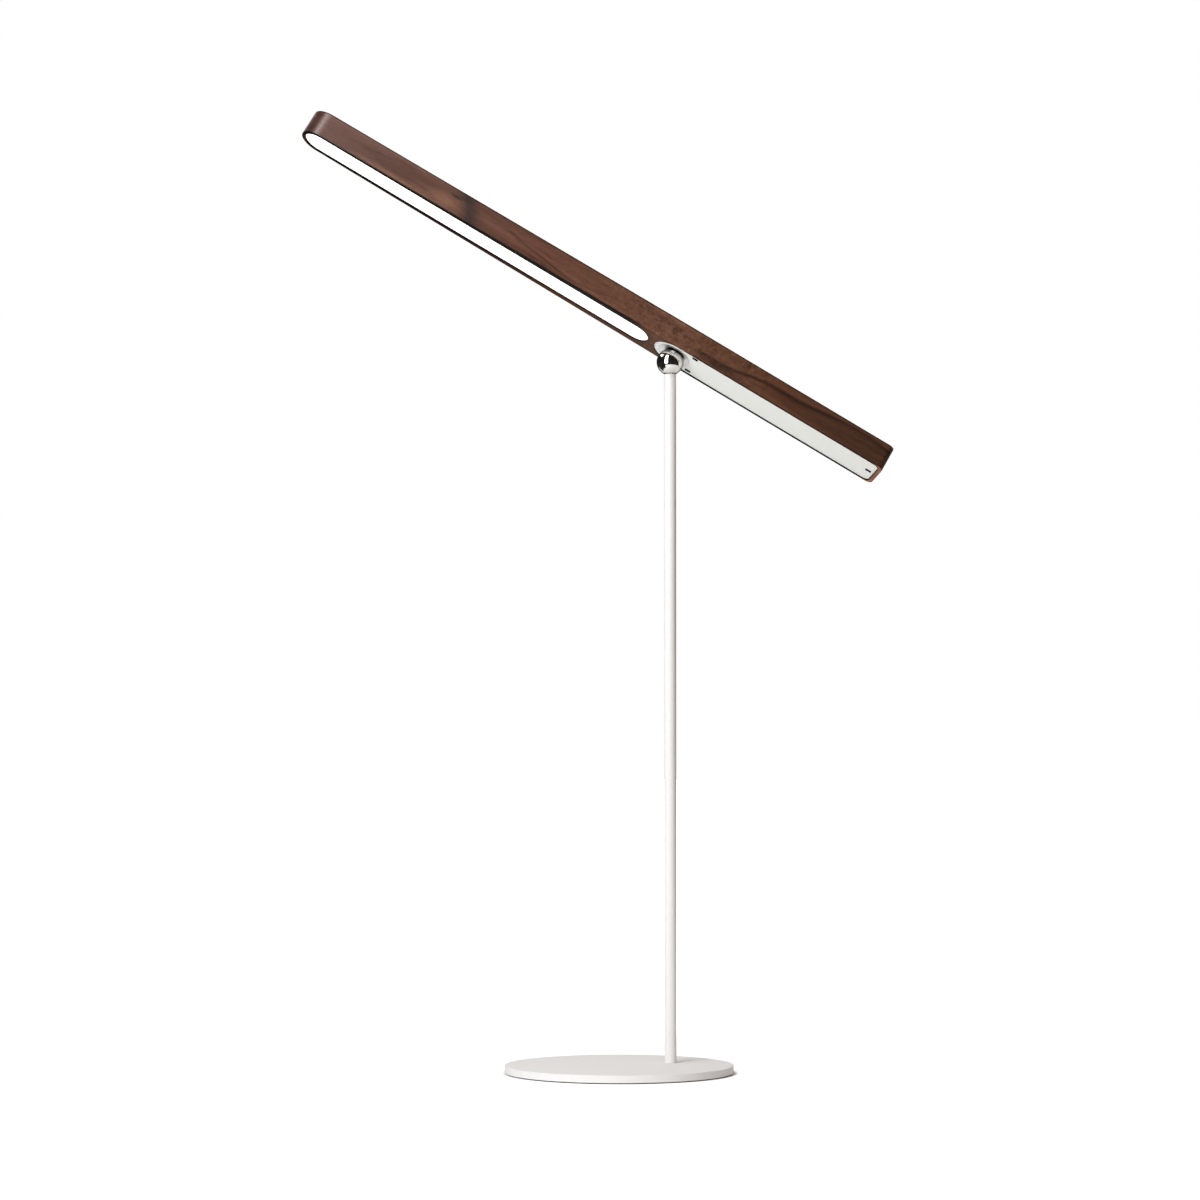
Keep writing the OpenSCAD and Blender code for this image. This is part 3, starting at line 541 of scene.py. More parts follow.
# %% [markdown]
# ## The button
#
# The button is a small turned cap with a shallow dish for the fingertip and a flange behind the wood that
# keeps it in. It is turned about the bar's y, pointing out of the far side.

# %% The button
flange_thick, cap_edge, dish_rim, dish_dip = 0.7 * mm, 0.35 * mm, 0.5 * mm, 0.25 * mm
low, high = bar_box("switch_button")
button_at = to_room(np.array([(low[0] + high[0]) / 2, 0, (low[2] + high[2]) / 2]))
button_axes = np.column_stack([bar_axes[:, 0], bar_axes[:, 2], -bar_axes[:, 1]])
flange_r = (high[0] - low[0]) / 2
cap_r = flange_r - flange
face, back, seat = -low[1], -high[1], -high[1] + flange_thick
dish = np.linspace(0, 1, 12)
button_profile = np.vstack([
    [(0, back), (flange_r, back), (flange_r, seat), (cap_r, seat), (cap_r, face - 0.4 * mm)],
    round_edge((cap_r, face), (0, -1), (-1, 0), cap_edge),
    np.column_stack([(cap_r - dish_rim) * (1 - dish), face - dish_dip * (1 - (1 - dish) ** 2)]),
])
button = skin("button_cap", [turned(button_profile, button_axes, button_at, 64)])
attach(button, "button")
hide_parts("switch_button")
print("button of", round(2 * cap_r / mm, 1), "mm, proud of the wood by", round((face - tail_half) / mm, 2), "mm")

# %% [markdown]
# ## Shader helpers
#
# A finish is a small network of nodes, and most of it is arithmetic on the place of a point. So the output of a
# node is wrapped as a wire that can be added and multiplied: each step adds its own node, and a mask reads like
# its formula. A plain value is set on a node's socket, and a wire is linked to it.

# %% Wires
class Wire:
    """The output of a node. Arithmetic on wires adds one math node for each step."""

    def __init__(self, tree, socket):
        self.tree, self.socket = tree, socket

    def __add__(self, other):
        return calc("ADD", self, other)

    def __sub__(self, other):
        return calc("SUBTRACT", self, other)

    def __rsub__(self, other):
        return calc("SUBTRACT", other, self)

    def __mul__(self, other):
        return calc("MULTIPLY", self, other)

    def __neg__(self):
        return calc("MULTIPLY", self, -1.0)

    def __abs__(self):
        return calc("ABSOLUTE", self)


def tree_of(*values):
    """The node tree of the first wire among some values."""
    return next(value.tree for value in values if isinstance(value, Wire))


def feed(node, ins):
    """Fills input sockets, by name or number, with a value or a wire."""
    for key, value in ins.items():
        if isinstance(value, Wire):
            value.tree.links.new(value.socket, node.inputs[key])
        else:
            node.inputs[key].default_value = value


def add(tree, kind, settings={}, ins={}, out=0):
    """Adds a node and gives one of its outputs, by name or number, or all of them where out is None."""
    node = tree.nodes.new(kind)
    for key, value in settings.items():
        setattr(node, key, value)
    feed(node, ins)
    return [Wire(tree, socket) for socket in node.outputs] if out is None else Wire(tree, node.outputs[out])


print("wires ready")

# %% Arithmetic on wires
def calc(how, a, b=0.0):
    """One arithmetic step on two values."""
    return add(tree_of(a, b), "ShaderNodeMath", {"operation": how}, {0: a, 1: b})


def most(first, *others):
    """The largest of several values."""
    for other in others:
        first = calc("MAXIMUM", first, other)
    return first


def length(a, b):
    """Length of two values at right angles: the root of a * a + b * b."""
    return calc("SQRT", a * a + b * b)


def spread(value, low, high, start=0.0, stop=1.0, **settings):
    """Maps the range from low to high to the range from start to stop."""
    ins = {0: value, 1: low, 2: high, 3: start, 4: stop}
    return add(value.tree, "ShaderNodeMapRange", settings, ins)


def step(value, low, high, start=0.0, stop=1.0):
    """Smooth step: start below low, stop above high."""
    return spread(value, low, high, start, stop, interpolation_type="SMOOTHSTEP")


print("values can be summed, compared, spread and stepped")

# %% Places, noise and colours
def object_place(tree):
    """Place on the piece, in the room's axes: Object coordinates, since every piece stands at the origin."""
    return add(tree, "ShaderNodeTexCoord", out="Object")


def along_bar(tree):
    """Object coordinates turned into the bar's own frame, so that a pattern can run along the bar."""
    turn = Matrix(bar_axes.T.tolist())
    move = -(turn @ Vector(ball_centre))
    ins = {"Vector": object_place(tree), "Location": move, "Rotation": turn.to_euler("XYZ")}
    return add(tree, "ShaderNodeMapping", {"vector_type": "POINT"}, ins)


def stretched(place, scale):
    """Place times a scale for each axis."""
    return add(place.tree, "ShaderNodeVectorMath", {"operation": "MULTIPLY"}, {0: place, 1: scale})


def noise(place, scale, detail=3.0, rough=0.5, bend=0.0):
    """Noise around 0.5 at a scale per metre."""
    ins = {"Vector": place, "Scale": scale, "Detail": detail, "Roughness": rough, "Distortion": bend}
    return add(place.tree, "ShaderNodeTexNoise", ins=ins, out="Fac")


def ramp(factor, stops):
    """A colour ramp: stops are (place, colour)."""
    node = factor.tree.nodes.new("ShaderNodeValToRGB")
    feed(node, {0: factor})
    line = node.color_ramp.elements
    while len(line) < len(stops):
        line.new(0.5)
    for element, (place, colour) in zip(line, stops):
        element.position = place
        element.color = (*colour, 1.0)
    return Wire(factor.tree, node.outputs[0])


def blend(factor, a, b, how="MIX"):
    """Mix of two colours: a where the factor is 0, b where it is 1."""
    a, b = ((*colour, 1.0) if isinstance(colour, tuple) else colour for colour in (a, b))
    settings = {"data_type": "RGBA", "blend_type": how}
    return add(tree_of(factor, a, b), "ShaderNodeMix", settings, {0: factor, 6: a, 7: b}, out=2)


def shaded(a, b):
    """Product of two colours."""
    return blend(1.0, a, b, "MULTIPLY")


def finish_of(name):
    """A new material: its node tree and its shader."""
    material = bpy.data.materials.new(name)
    material.use_nodes = True
    tree = material.node_tree
    return material, tree, tree.nodes["Principled BSDF"]


print("patterns can run along", np.round(bar_axes[:, 0], 3).tolist())

# %% [markdown]
# ## Two shared effects
#
# Two effects come back in several finishes, so they are node groups: a fine mottle, as in paint and moulded
# plastic, and the drawn streaks of worked metal. Each is a pattern of noise that mixes two tones and two
# roughnesses, and gives a height for the bump.

# %% The shared groups
def effect(name, own_input, roughness, pattern):
    """A node group whose pattern, from the group's inputs, gives the share of tone B and a height."""
    tree = bpy.data.node_groups.new(name, "ShaderNodeTree")
    low, high = roughness
    inputs = [("Place", "Vector", None), own_input, ("Tone A", "Color", None), ("Tone B", "Color", None),
              ("Rough low", "Float", low), ("Rough high", "Float", high)]
    for label, kind, value in inputs:
        socket = tree.interface.new_socket(label, in_out="INPUT", socket_type="NodeSocket" + kind)
        if value is not None:
            socket.default_value = value
    for label, kind in (("Color", "Color"), ("Roughness", "Float"), ("Height", "Float")):
        tree.interface.new_socket(label, in_out="OUTPUT", socket_type="NodeSocket" + kind)
    given = {s.name: Wire(tree, s) for s in tree.nodes.new("NodeGroupInput").outputs if s.name}
    share, height = pattern(given)
    feed(tree.nodes.new("NodeGroupOutput"), {
        "Color": blend(share, given["Tone A"], given["Tone B"]),
        "Roughness": spread(share, 0.3, 0.7, given["Rough low"], given["Rough high"]),
        "Height": height,
    })
    return tree


def mottle_pattern(given):
    """Share: fine noise and broad noise, about one to two. Height: the fine noise alone."""
    fine = noise(given["Place"], given["Grain per metre"], 2.0, 0.6)
    return fine * 0.35 + noise(given["Place"], 22.0, 3.0, 0.5) * 0.65, fine


def streak_pattern(given):
    """Noise in a place that is stretched along the streaks, as share and as height."""
    line = noise(stretched(given["Place"], given["Stretch"]), 1.0, 4.0, 0.6)
    return line, line


mottle = effect("fine_mottle", ("Grain per metre", "Float", 900.0), (0.4, 0.5), mottle_pattern)
streaks = effect("drawn_streaks", ("Stretch", "Vector", (20.0, 900.0, 900.0)), (0.25, 0.45), streak_pattern)
print("groups:", [g.name for g in bpy.data.node_groups])

# %% Place a group in a finish
def grouped(name, group, place, tones, roughness, own, bump, depth, rest):
    """A finish from a shared effect: its colour, its roughness, and its height as a bump of that depth."""
    material, tree, shader = finish_of(name)
    (low, high), (tone_a, tone_b) = roughness, ((*tone, 1.0) for tone in tones)
    own = {"Tone A": tone_a, "Tone B": tone_b, "Rough low": low, "Rough high": high, **own}
    ins = {"Place": place(tree), **own}
    colour, rough, height = add(tree, "ShaderNodeGroup", {"node_tree": group}, ins, out=None)
    relief = add(tree, "ShaderNodeBump", ins={"Strength": bump, "Distance": depth, "Height": height})
    feed(shader, {"Base Color": colour, "Roughness": rough, "Normal": relief, **rest})
    return material


def mottled(name, tone_a, tone_b, rough_low, rough_high, grain=900.0, bump=0.15, depth=0.04 * mm, shine=0.5):
    """A finish with fine mottle, such as paint, rubber or moulded plastic."""
    return grouped(name, mottle, object_place, (tone_a, tone_b), (rough_low, rough_high),
                   {"Grain per metre": grain}, bump, depth, {"Specular IOR Level": shine})


def drawn_metal(name, tone_a, tone_b, rough_low, rough_high, stretch=(20.0, 900.0, 900.0)):
    """A bare metal finish with streaks along the bar."""
    return grouped(name, streaks, along_bar, (tone_a, tone_b), (rough_low, rough_high),
                   {"Stretch": stretch}, 0.1, 0.02 * mm, {"Metallic": 1.0})


print("ready to mix finishes")

# %% [markdown]
# ## Walnut
#
# Walnut is a mid brown with long darker bands, short open pores and, in curly stock, soft cross bars. All of it
# is noise drawn out along the bar, because the fibres run that way. The tone along the bar holds painted light:
# a painted grey sheen towards the tip, and painted falloff of light that, with the wood's own darker tone, makes
# it darkest at the flat end. Its marks have a place: a knot on the light arm and a dark vein on the short arm.

# %% Helpers for marks with a place
def bell(value, width):
    """Bell curve of a value: exp of minus its square over the width's square."""
    scaled = value * (1.0 / width)
    return calc("POWER", math.e, -(scaled * scaled))


def spot(place, centre, radii):
    """Bell curve of the distance to a centre, measured in radii along each axis."""
    away = add(place.tree, "ShaderNodeVectorMath", {"operation": "SUBTRACT"}, {0: place, 1: centre})
    away = stretched(away, [1 / r for r in radii])
    return bell(add(place.tree, "ShaderNodeVectorMath", {"operation": "LENGTH"}, {0: away}, out=1), 1.0)


print("a mark fades to", round(math.exp(-1), 2), "of its strength at its width")

# %% The grain
walnut, tree, shader = finish_of("oiled_walnut")
place = along_bar(tree)
x, y, z = add(tree, "ShaderNodeSeparateXYZ", ins={0: place}, out=None)
bands = noise(stretched(place, (9.0, 100.0, 130.0)), 1.0, detail=5.0, rough=0.55, bend=0.8)
lines = noise(stretched(place, (14.0, 620.0, 760.0)), 1.0, detail=3.0, rough=0.55, bend=0.3)
curl = noise(stretched(place, (280.0, 60.0, 300.0)), 1.0, detail=3.0, rough=0.6, bend=1.2)
pores = noise(stretched(place, (130.0, 2600.0, 2600.0)), 1.0, detail=2.0)
curly = step(x, -0.085, -0.045) * (1.0 - step(x, 0.02, 0.09))
figure = bands * 0.62 + lines * 0.2 + (curl - 0.5) * curly * 0.95
gain = spread(figure, 0.27, 0.55, 0.66, 1.36, clamp=False)
# Tone along the bar, partly painted light: a painted grey sheen towards the tip and painted falloff of light
# towards the flat end, over the wood's own tone.
tone = ramp(step(x, -0.175, 0.325), [
    (0.0, (0.076, 0.033, 0.0175)), (0.1, (0.093, 0.0365, 0.0175)), (0.28, (0.141, 0.062, 0.0355)),
    (0.62, (0.117, 0.0455, 0.0255)), (1.0, (0.116, 0.053, 0.039)),
])
pore_tone = ramp(pores, [(0.34, (0.62, 0.58, 0.56)), (0.43, (1, 1, 1))])
print("grain from", sum(n.bl_idname == "ShaderNodeTexNoise" for n in tree.nodes), "noises")

# %% The knot on the light arm
pale_wood, knot_wood, ring_wood = (0.25, 0.122, 0.072), (0.030, 0.019, 0.017), (0.040, 0.017, 0.011)
knot_eye, eye_size = (0.1875, 0.0146, 0.0187), (0.0052, 0.01, 0.0013)
knot_x, knot_lean, knot_width = 0.1667, 0.56, 0.0068
ring_x, ring_z, ring_round, ring_rise, ring_width = 0.09, 0.0076, 0.004, 0.165, 0.0009
ring_middle, ring_reach = 0.108, 0.042
front = step(y, -0.004, 0.012)
wander = bands - 0.5
patch = most(spot(place, (0.195, 0.0145, 0.0118), (0.012, 0.02, 0.0060)) * 0.58,
             spot(place, (0.228, 0.0145, 0.0065), (0.034, 0.02, 0.0034)) * 0.5)
tone = blend(patch, tone, pale_wood)
swirl = x - z * knot_lean - knot_x + wander * 0.012
knot = most(spot(place, knot_eye, eye_size) * 0.95, bell(swirl, knot_width) * front * 0.82)
tone = blend(knot, tone, knot_wood)
ring = z - (length(x - ring_x, ring_round) * ring_rise + ring_z) + wander * 0.004
ring_mask = bell(ring, ring_width) * bell(x - ring_middle, ring_reach) * front * 0.8
tone = blend(ring_mask, tone, ring_wood)
print("the knot's eye is", round(knot_eye[0] / mm, 1), "mm along the light arm")

# %% The vein on the short arm
vein_wood, warm_wood = (0.024, 0.010, 0.0065), (0.120, 0.049, 0.024)
vein_start, vein_z, vein_climb, vein_width = (0.006, 0.02), 0.0095, 0.088, 0.0012
wave_at, wave_reach, wave_turns, wave_high = 0.052, 0.045, 90.0, 0.0016
droop_at, droop_reach, droop_deep = 0.18, 0.028, 0.0065
run = -x
bend = run - wave_at
wave = calc("SINE", bend * wave_turns) * bell(bend, wave_reach) * wave_high
droop = bell(run - droop_at, droop_reach) * -droop_deep
rise = run * vein_climb + vein_z + (wave + droop)
above = z - (rise + wander * 0.004)
on_vein = step(run, *vein_start) * front
tone = blend(step(above, 0.0, 0.003) * on_vein * 0.7, tone, warm_wood)
smudge = spot(place, (-0.031, 0.0173, 0.0092), (0.017, 0.012, 0.0036)) * 0.8
tone = blend(most(bell(above, vein_width) * on_vein * 0.82, smudge), tone, vein_wood)
tone = shaded(shaded(tone, gain), pore_tone)
print("the vein starts", round(vein_start[1] / mm), "mm along the short arm")

# %% [markdown]
# ## Edges of the wood
#
# The walls of the two openings and their narrow rims carry painted shade, so both are much darker than the
# sides, and the whole underside is a little darker. The rim at the flat end is end grain that was sanded again,
# so it is lighter and warmer, with a painted shade line round the plate's end. The round tip is darkened past
# its highlight as painted shade, and a dark line runs along the top edge. Each mask below is a band of the bar's
# own x, y or z, or a distance from an opening's outline.

# %% Masks of the openings
under = 1.0 - step(z, rim_z + 0.15 * mm, rim_z + 0.5 * mm)
on_arm = step(x, bridge_x - 1 * mm, bridge_x + 1 * mm)
off_axis = length(most(x - slot_b, 0.0), y)
beyond = off_axis - spread(on_arm, 0.0, 1.0, plate_r, slot_r)
recess_end = -plate_end - plate_corner
# The walls of the openings, which take painted shade.
inside = (1.0 - step(beyond, 0.05 * mm, 0.25 * mm)) * step(x, recess_end - 0.2 * mm, recess_end)
inside = inside * step(z, rim_z + 0.05 * mm, rim_z + 0.2 * mm)
inside = inside * (1.0 - step(z, top_z - 2 * mm, top_z - 1 * mm))
past_plate = most(-x - plate_end, 0.0)
off_plate = most(abs(y) - (plate_r - plate_corner), 0.0)
from_plate = length(past_plate, off_plate)
round_plate = 1.0 - step(from_plate, plate_corner + 0.35 * mm, plate_corner + 0.85 * mm)
# A painted shade line round the plate's end, on the recess wall and rim.
end_line = under * round_plate * step(past_plate, 0.0, 1 * mm)
print("the openings lie between", round(recess_end / mm, 1), "and", round((slot_b + slot_r) / mm, 1), "mm")

# %% Masks of the rims
near = step(y, 0.0, 0.004)
far = step(-y, 0.006, 0.0095)
low_edge = 1.0 - step(z, rim_z + 0.2 * mm, rim_z + 1.4 * mm)
before_end = step(x, -plate_end - 2 * mm, -plate_end + 3 * mm)
# The near rims, which take painted shade.
near_rim = low_edge * step(x, 0.022, 0.04) * near
near_short = low_edge * step(-x, 0.004, 0.016) * near * before_end
# The far rims, which take painted shade.
far_rim = under * far * step(x, bridge_x, bridge_x + 8 * mm)
back_rim = under * far * (1.0 - step(x, -8 * mm, 4 * mm)) * before_end
end_rim = under * (1.0 - step(x, -plate_end - 3 * mm, -plate_end))
# Painted shade on the round tip, past its highlight.
painted_tip_shade = step(x, tip_x + 4.6 * mm, tip_x + 7.6 * mm)
half_at_tip = tail_half - tip_x * math.tan(slant)
half_width = spread(x, 0.0, tip_x, tail_half, half_at_tip)
from_spine = length(most(x - tip_x, 0.0), y)
at_wall = step(from_spine - half_width, -1.1 * mm, -0.5 * mm)
top_line = step(z, top_z - 1.3 * mm, top_z - 0.5 * mm) * at_wall
print("the bar is", round(2 * half_at_tip / mm, 1), "mm wide where the tip begins")

# %% Lay the edges over the grain
# Near black for painted shade in the openings and on the rims, and for the dark line along the top edge.
shade_and_line_dark = (0.005, 0.0025, 0.002)
# The far rim's painted shade: brown near the ball, near black towards the tip.
far_tone = ramp(step(x, 0.02, 0.26), [
    (0.0, (0.075, 0.033, 0.018)), (0.25, (0.058, 0.018, 0.004)), (0.6, (0.019, 0.005, 0.002)), (1.0, shade_and_line_dark),
])
dark = most(inside, near_rim, top_line * 0.85, near_short * 0.7, end_line * 0.9)
edge_tones = [
    # Painted shade on the tip, past its highlight.
    (painted_tip_shade, shaded(tone, (0.46, 0.42, 0.42))),
    (under * 0.35, (0.02, 0.011, 0.008)),
    # Painted shade on the far rims.
    (far_rim * 0.95, far_tone),
    (back_rim * 0.97, (0.007, 0.0035, 0.003)),
    (end_rim * 0.9, shaded((0.27, 0.13, 0.068), gain)),
    # Painted shade in the openings, on the near rims and at the plate's end, and the dark line along the top
    # edge.
    (dark * 0.97, shade_and_line_dark),
]
for mask, colour in edge_tones:
    tone = blend(mask, tone, colour)
dry = most(under, inside, top_line)
relief = pores * 0.7 + bands * 0.3
feed(shader, {
    "Base Color": tone,
    "Roughness": spread(figure, 0.25, 0.6, 0.32, 0.38),
    "Normal": add(tree, "ShaderNodeBump", ins={"Strength": 0.03, "Distance": 0.1 * mm, "Height": relief}),
    "Specular IOR Level": spread(dry, 0.0, 1.0, 0.85, 0.02),
})
print("walnut has", len(tree.nodes), "nodes")

# %% [markdown]
# ## Paint, opal, steel and rubber
#
# The stand and the cover plate are powder coated: white, matt, with a fine even tooth. The rubber pad is nearly
# black. The ball is a mirror with faint handling marks; it reflects little at its edge, where the photograph
# shows it dark, and a painted contact shadow darkens it where it meets the stem. The cup is satin steel with
# painted shade and a painted reflection of the ball, darker towards the seat. The opal strip glows by itself,
# in a white that is slightly uneven.

# %% The paints and the rubber
stand_white = mottled("stand_white_paint", (0.85, 0.835, 0.82), (0.88, 0.868, 0.858), 0.5, 0.6,
                      grain=1600.0, bump=0.12, depth=0.03 * mm)
plate_white = mottled("plate_pale_paint", (0.886, 0.902, 0.861), (0.910, 0.926, 0.890), 0.42, 0.52,
                      grain=1500.0, bump=0.12, depth=0.03 * mm)
pad_rubber = mottled("cushion_rubber", (0.008, 0.008, 0.008), (0.018, 0.017, 0.016), 0.75, 0.9,
                     grain=700.0, bump=0.3, depth=0.1 * mm)
print("paints and rubber:", [m.name for m in (stand_white, plate_white, pad_rubber)])

# %% The steel and the opal
polished, tree, shader = finish_of("mirror_steel")
smear = noise(object_place(tree), 160.0, 3.0, 0.55)
height = add(tree, "ShaderNodeSeparateXYZ", ins={0: object_place(tree)}, out="Z")
# A painted contact shadow round the ball's foot, where it meets the stem.
stem_contact_shade = 1.0 - step(height, ball_foot + 0.1 * mm, ball_foot + 1.0 * mm)
tone = ramp(smear, [(0.3, (0.78, 0.78, 0.745)), (0.7, (0.86, 0.855, 0.815))])
feed(shader, {
    "Base Color": blend(stem_contact_shade * 0.85, tone, (0.05, 0.03, 0.022)),
    "Specular Tint": (0.02, 0.018, 0.016, 1.0),
    "Roughness": spread(smear, 0.3, 0.7, 0.03, 0.07),
    "Metallic": 1.0,
})

satin, tree, shader = finish_of("satin_steel")
smear = noise(object_place(tree), 240.0, 3.0, 0.55)
x, y, _ = add(tree, "ShaderNodeSeparateXYZ", ins={0: along_bar(tree)}, out=None)
# Painted shade and a painted reflection of the ball: the steel darkens from the lip towards the seat.
tone = ramp(step(length(x, y), meet_r, meet_r + 3.0 * mm), [
    (0.0, (0.10, 0.10, 0.095)), (0.4, (0.45, 0.45, 0.44)), (1.0, (0.87, 0.87, 0.86)),
])
feed(shader, {
    "Base Color": shaded(tone, ramp(smear, [(0.3, (0.93, 0.93, 0.93)), (0.7, (1, 1, 1))])),
    "Roughness": spread(smear, 0.3, 0.7, 0.38, 0.43),
    "Metallic": 1.0,
})

opal, tree, shader = finish_of("lit_opal")
glow = noise(along_bar(tree), 30.0, 2.0, 0.5)
feed(shader, {
    "Base Color": ramp(glow, [(0.3, (0.90, 0.89, 0.86)), (0.7, (0.94, 0.93, 0.91))]),
    "Emission Color": ramp(glow, [(0.3, (1.0, 0.985, 0.95)), (0.7, (1.0, 1.0, 0.98))]),
    "Emission Strength": 1.0,
    "Roughness": spread(glow, 0.0, 1.0, 0.3, 0.4),
})
print("steel and opal:", [m.name for m in (polished, satin, opal)])

# %% [markdown]
# ## Finishes inside the bar
#
# The tray, the cell and the boards are behind the plate, but the tray's tongues show in the plate's slots, the
# inlet shows in the far side, and a model that is taken apart shows everything. So each gets its own finish.

# %% The inner finishes
chip_black = mottled("chip_black", (0.012, 0.012, 0.013), (0.03, 0.03, 0.03), 0.4, 0.5)
fastener = drawn_metal("fastener_steel", (0.45, 0.45, 0.46), (0.62, 0.62, 0.63), 0.25, 0.42, (700.0,) * 3)
brushed = drawn_metal("inlet_steel", (0.5, 0.5, 0.51), (0.66, 0.66, 0.67), 0.22, 0.36, (900.0, 60.0, 900.0))
screws_and_magnet = ("strip_screws", "tray_screws", "stem_screw", "ball_stud", "ball_magnet", "magnet_pot")
node_finish = {
    "battery_tray": mottled("tray_black_plastic", (0.003, 0.003, 0.0035), (0.007, 0.007, 0.008), 0.6, 0.75,
                            shine=0.03),
    "battery_cell": drawn_metal("cell_foil", (0.5, 0.51, 0.53), (0.66, 0.67, 0.69), 0.25, 0.4,
                                stretch=(60.0, 300.0, 300.0)),
    "cell_pad": mottled("cell_foam", (0.05, 0.05, 0.055), (0.1, 0.1, 0.11), 0.85, 0.95,
                        grain=1200.0, bump=0.6, depth=0.3 * mm),
    "cell_wires": mottled("lead_red", (0.4, 0.02, 0.015), (0.52, 0.035, 0.025), 0.35, 0.5),
    "led_wires": mottled("lead_pale", (0.62, 0.62, 0.58), (0.74, 0.74, 0.7), 0.35, 0.5),
    "control_board": mottled("board_green", (0.008, 0.07, 0.03), (0.014, 0.11, 0.05), 0.3, 0.42, grain=500.0),
    "control_parts": chip_black, "power_switch": chip_black, "usb_socket": brushed,
    "led_board": mottled("board_white", (0.78, 0.78, 0.75), (0.86, 0.86, 0.84), 0.35, 0.45),
    "leds": mottled("light_source_yellow", (0.85, 0.6, 0.12), (0.95, 0.78, 0.3), 0.3, 0.4),
    "heat_strip": drawn_metal("strip_aluminium", (0.62, 0.63, 0.65), (0.76, 0.77, 0.79), 0.28, 0.45),
    **dict.fromkeys(screws_and_magnet, fastener),
}
print(mottle.users, "finishes are mottled and", streaks.users, "are drawn metal")

# %% [markdown]
# ## Give every piece its finish
#
# A new piece takes a material slot of its own, and the list beside it names the record's slot that it stands
# for. A model node keeps its shape and only has its slots filled.

# %% Hand out the finishes
new_pieces = [
    (base, stand_white, "white_paint"), (stem, stand_white, "white_paint"), (pad, pad_rubber, "pad_rubber"),
    (ball, polished, "polished_steel"), (cup, satin, "polished_steel"), (wood, walnut, "walnut"),
    (diffuser, opal, "opal_lit"), (button, brushed, "plain_steel"), (cover, plate_white, "plate_paint"),
]
for piece, material, slot in new_pieces:
    piece.data.materials.clear()
    piece.data.materials.append(material)

for name, material in node_finish.items():
    for slot in nodes[name].material_slots:
        slot.material = material
print(len(new_pieces), "new pieces and", len(node_finish), "model nodes have their finishes")

# %% [markdown]
# ## Camera
#
# The camera stands level with the middle of the stem, a long way off, and looks up by not quite two degrees. A
# long lens keeps the lamp's lines almost parallel, as in the photograph.

# %% The camera
eye = Vector((-0.9918, -2.407, 0.2458))
pitch, heading = math.radians(1.867), math.radians(22.1)
photo_width, focal_pixels = 1200, 3714
ahead = Vector((math.sin(heading), math.cos(heading), 0))
look = ahead * math.cos(pitch) + Vector((0, 0, math.sin(pitch)))
lens = bpy.data.cameras.new("camera")
lens.sensor_width = 36.0
lens.lens = lens.sensor_width * focal_pixels / photo_width
lens.clip_start, lens.clip_end = 0.05, 60.0
camera = bpy.data.objects.new("camera", lens)
camera.location, camera.rotation_mode = eye, "QUATERNION"
camera.rotation_quaternion = look.to_track_quat("-Z", "Y")
bpy.context.scene.collection.objects.link(camera)
bpy.context.scene.camera = camera
print("camera", round(eye.length, 2), "m away with a lens of", round(lens.lens, 1), "mm")

# %% [markdown]
# ## Floor, room and lamps
#
# The photograph is a studio picture on white: a tall soft key light on the camera's left, a low fill, one light
# above and one behind, and paper all round. Floor and room are white to the camera, while the light on the lamp
# stays at a plain level. Close to the base the paper glows less, and within a few millimetres of it less still,
# so that the base keeps its soft shadow and its line of contact.

# %% The floor
def sheet_of(name, points, material):
    """A sheet of the studio from a grid of points."""
    mesh = bpy.data.meshes.new(name)
    mesh.from_pydata(points.reshape(-1, 3).tolist(), [], faces_of(*points.shape[:2], False).tolist())
    mesh.materials.append(material)
    sheet = bpy.data.objects.new(name, mesh)
    bpy.context.scene.collection.objects.link(sheet)
    return sheet


def by_ray(tree, camera, mirror, other):
    """A strength by the kind of ray: the camera's, then mirror and glass rays, then all other light."""
    kinds = ("Is Camera Ray", "Is Glossy Ray", "Is Transmission Ray")
    seen, glossy, through = (add(tree, "ShaderNodeLightPath", out=kind) for kind in kinds)
    return spread(seen, 0.0, 1.0, spread(most(glossy, through), 0.0, 1.0, other, mirror), camera)


paper, tree, shader = finish_of("studio_paper")
away = add(tree, "ShaderNodeVectorMath", {"operation": "LENGTH"}, {0: object_place(tree)}, out=1)
white_out = step(away, 85 * mm, 500 * mm, 0.42, 0.97) * step(away, 80.2 * mm, 85 * mm)
feed(shader, {
    "Base Color": (0.93, 0.93, 0.93, 1), "Roughness": 0.9, "Specular IOR Level": 0.0,
    "Emission Color": (1, 1, 1, 1), "Emission Strength": by_ray(tree, white_out, white_out * 0.1, 0.0),
})
span = np.linspace(-12.0, 12.0, 3)
floor = sheet_of("studio_floor", np.stack([*np.meshgrid(span, span), np.zeros((3, 3))], -1), paper)
print("floor at", floor.data.vertices[0].co.z)

# %% The room's light
world = bpy.data.worlds.new("studio")
bpy.context.scene.world = world
world.use_nodes = True
tree = world.node_tree
room_light = 0.42
feed(tree.nodes["Background"], {"Color": (1, 1, 1, 1), "Strength": by_ray(tree, 1.0, 0.9, room_light)})
print("the room gives", room_light, "of the light that the camera sees in it")

# %% The lamps
right, up = Vector((math.cos(heading), -math.sin(heading), 0)), Vector((0, 0, 1))


def direction(azimuth, elevation):
    """Unit vectors by azimuth, 0 towards the camera and positive to its right, and elevation, in degrees:
    right * sin a * cos e - ahead * cos a * cos e + up * sin e."""
    a, e = np.radians(azimuth), np.radians(elevation)
    sideways = np.multiply.outer(np.sin(a) * np.cos(e), np.array(right))
    forwards = np.multiply.outer(np.cos(a) * np.cos(e), np.array(ahead))
    return sideways - forwards + np.multiply.outer(np.sin(e), np.array(up))


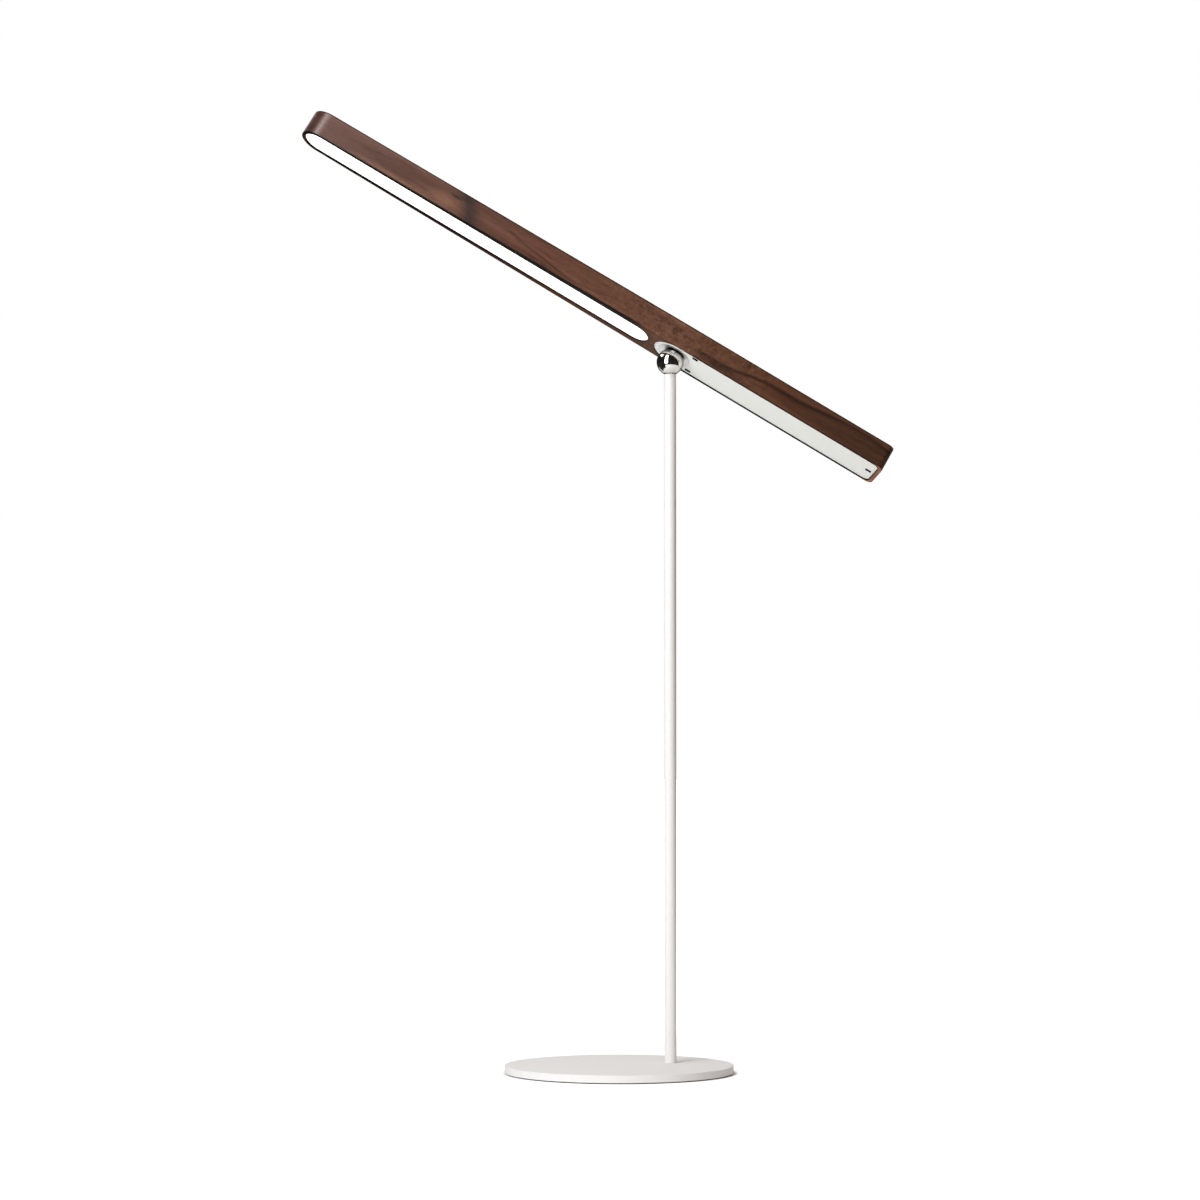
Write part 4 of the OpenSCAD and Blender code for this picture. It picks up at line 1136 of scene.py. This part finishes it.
def softbox(name, azimuth, distance, height, aim, size, watts, in_mirrors=False):
    """A soft lamp round the stem at a height, aimed at a height of the stem. Mirrors may see it; the camera
    doesn't."""
    data = bpy.data.lights.new(name, "AREA")
    data.shape, (data.size, data.size_y), data.energy = "RECTANGLE", size, watts
    lamp = bpy.data.objects.new(name, data)
    foot = Vector((stem_at[0], stem_at[1], 0.0))
    lamp.location = foot + distance * Vector(direction(azimuth, 0)) + height * up
    lamp.rotation_mode = "QUATERNION"
    lamp.rotation_quaternion = (foot + aim * up - lamp.location).to_track_quat("-Z", "Y")
    lamp.visible_camera, lamp.visible_glossy = False, in_mirrors
    bpy.context.scene.collection.objects.link(lamp)


softbox("key_softbox", azimuth=-34, distance=1.0, height=1.2, aim=1.2, size=(0.45, 1.9), watts=12.5,
        in_mirrors=True)
softbox("fill_softbox", azimuth=-15, distance=2.0, height=0.25, aim=0.3, size=(0.9, 0.5), watts=5.0)
softbox("top_softbox", azimuth=-60, distance=0.5, height=2.2, aim=0.0, size=(1.2, 1.2), watts=15.0)
softbox("back_softbox", azimuth=170, distance=1.6, height=1.0, aim=0.4, size=(0.9, 0.9), watts=5.0)

# %% [markdown]
# ## Cloth and flags
#
# The ball in the photograph shows a dark studio, so dark cloth hangs round the lamp where only mirrors see it.
# Two upright flags do the opposite: only matt surfaces see them. They keep the white room's light off the
# stem's sides, which is what gives a white stem its shaded edges against white paper.

# %% Dark cloth for the reflections and flags for the stem
dark_cloth = mottled("studio_dark_cloth", (0.010, 0.009, 0.008), (0.030, 0.026, 0.024), 0.9, 1.0, grain=40.0)
brown_flag = mottled("studio_brown_flag", (0.11, 0.05, 0.022), (0.14, 0.065, 0.032), 0.9, 1.0, grain=40.0)


def hang(name, points, material, in_mirrors):
    """Hangs cloth out of view: either mirrors see it, or matt surfaces do. It casts no shadow."""
    sheet = sheet_of(name, points, material)
    sheet.visible_camera = sheet.visible_shadow = sheet.visible_transmission = False
    sheet.visible_glossy, sheet.visible_diffuse = in_mirrors, not in_mirrors


def cloth(name, azimuths, elevations, radius):
    """Dark cloth for mirrors: part of a sphere round the ball, between two azimuths and two elevations."""
    grid = np.meshgrid(np.linspace(*azimuths, 24), np.linspace(*elevations, 12))
    hang(name, ball_centre + radius * direction(*grid), dark_cloth, True)


def flag(name, azimuths, heights, radius, material):
    """Upright panel that keeps light off: part of a cylinder round the stem, from azimuths and heights."""
    azimuth, height = np.meshgrid(np.linspace(*azimuths, 24), np.linspace(*heights, 4))
    points = np.array(stem_at) + radius * direction(azimuth, 0 * azimuth)
    points[..., 2] += height
    hang(name, points, material, False)


cloth("dark_cloth_left", (-128, -49), (-12, 62), 1.15)
cloth("dark_cloth_left_low", (-128, -49), (-48, -11), 0.62)
cloth("dark_cloth_right", (-19, 98), (-25, 72), 0.62)
cloth("dark_cloth_low", (-52, -16), (-25, -14), 0.62)
cloth("dark_cloth_back", (98, 234), (-15, 26), 0.62)
flag("flag_left", (-160, -62), (0.27, 1.4), 0.9, dark_cloth)
flag("flag_right", (15, 172), (0.05, 1.0), 0.45, brown_flag)

# %% [markdown]
# ## The look
#
# The studio look stays plain: the Standard view transform shows a colour about as it is written.

# %% Set the view transform
bpy.context.scene.view_settings.view_transform = "Standard"
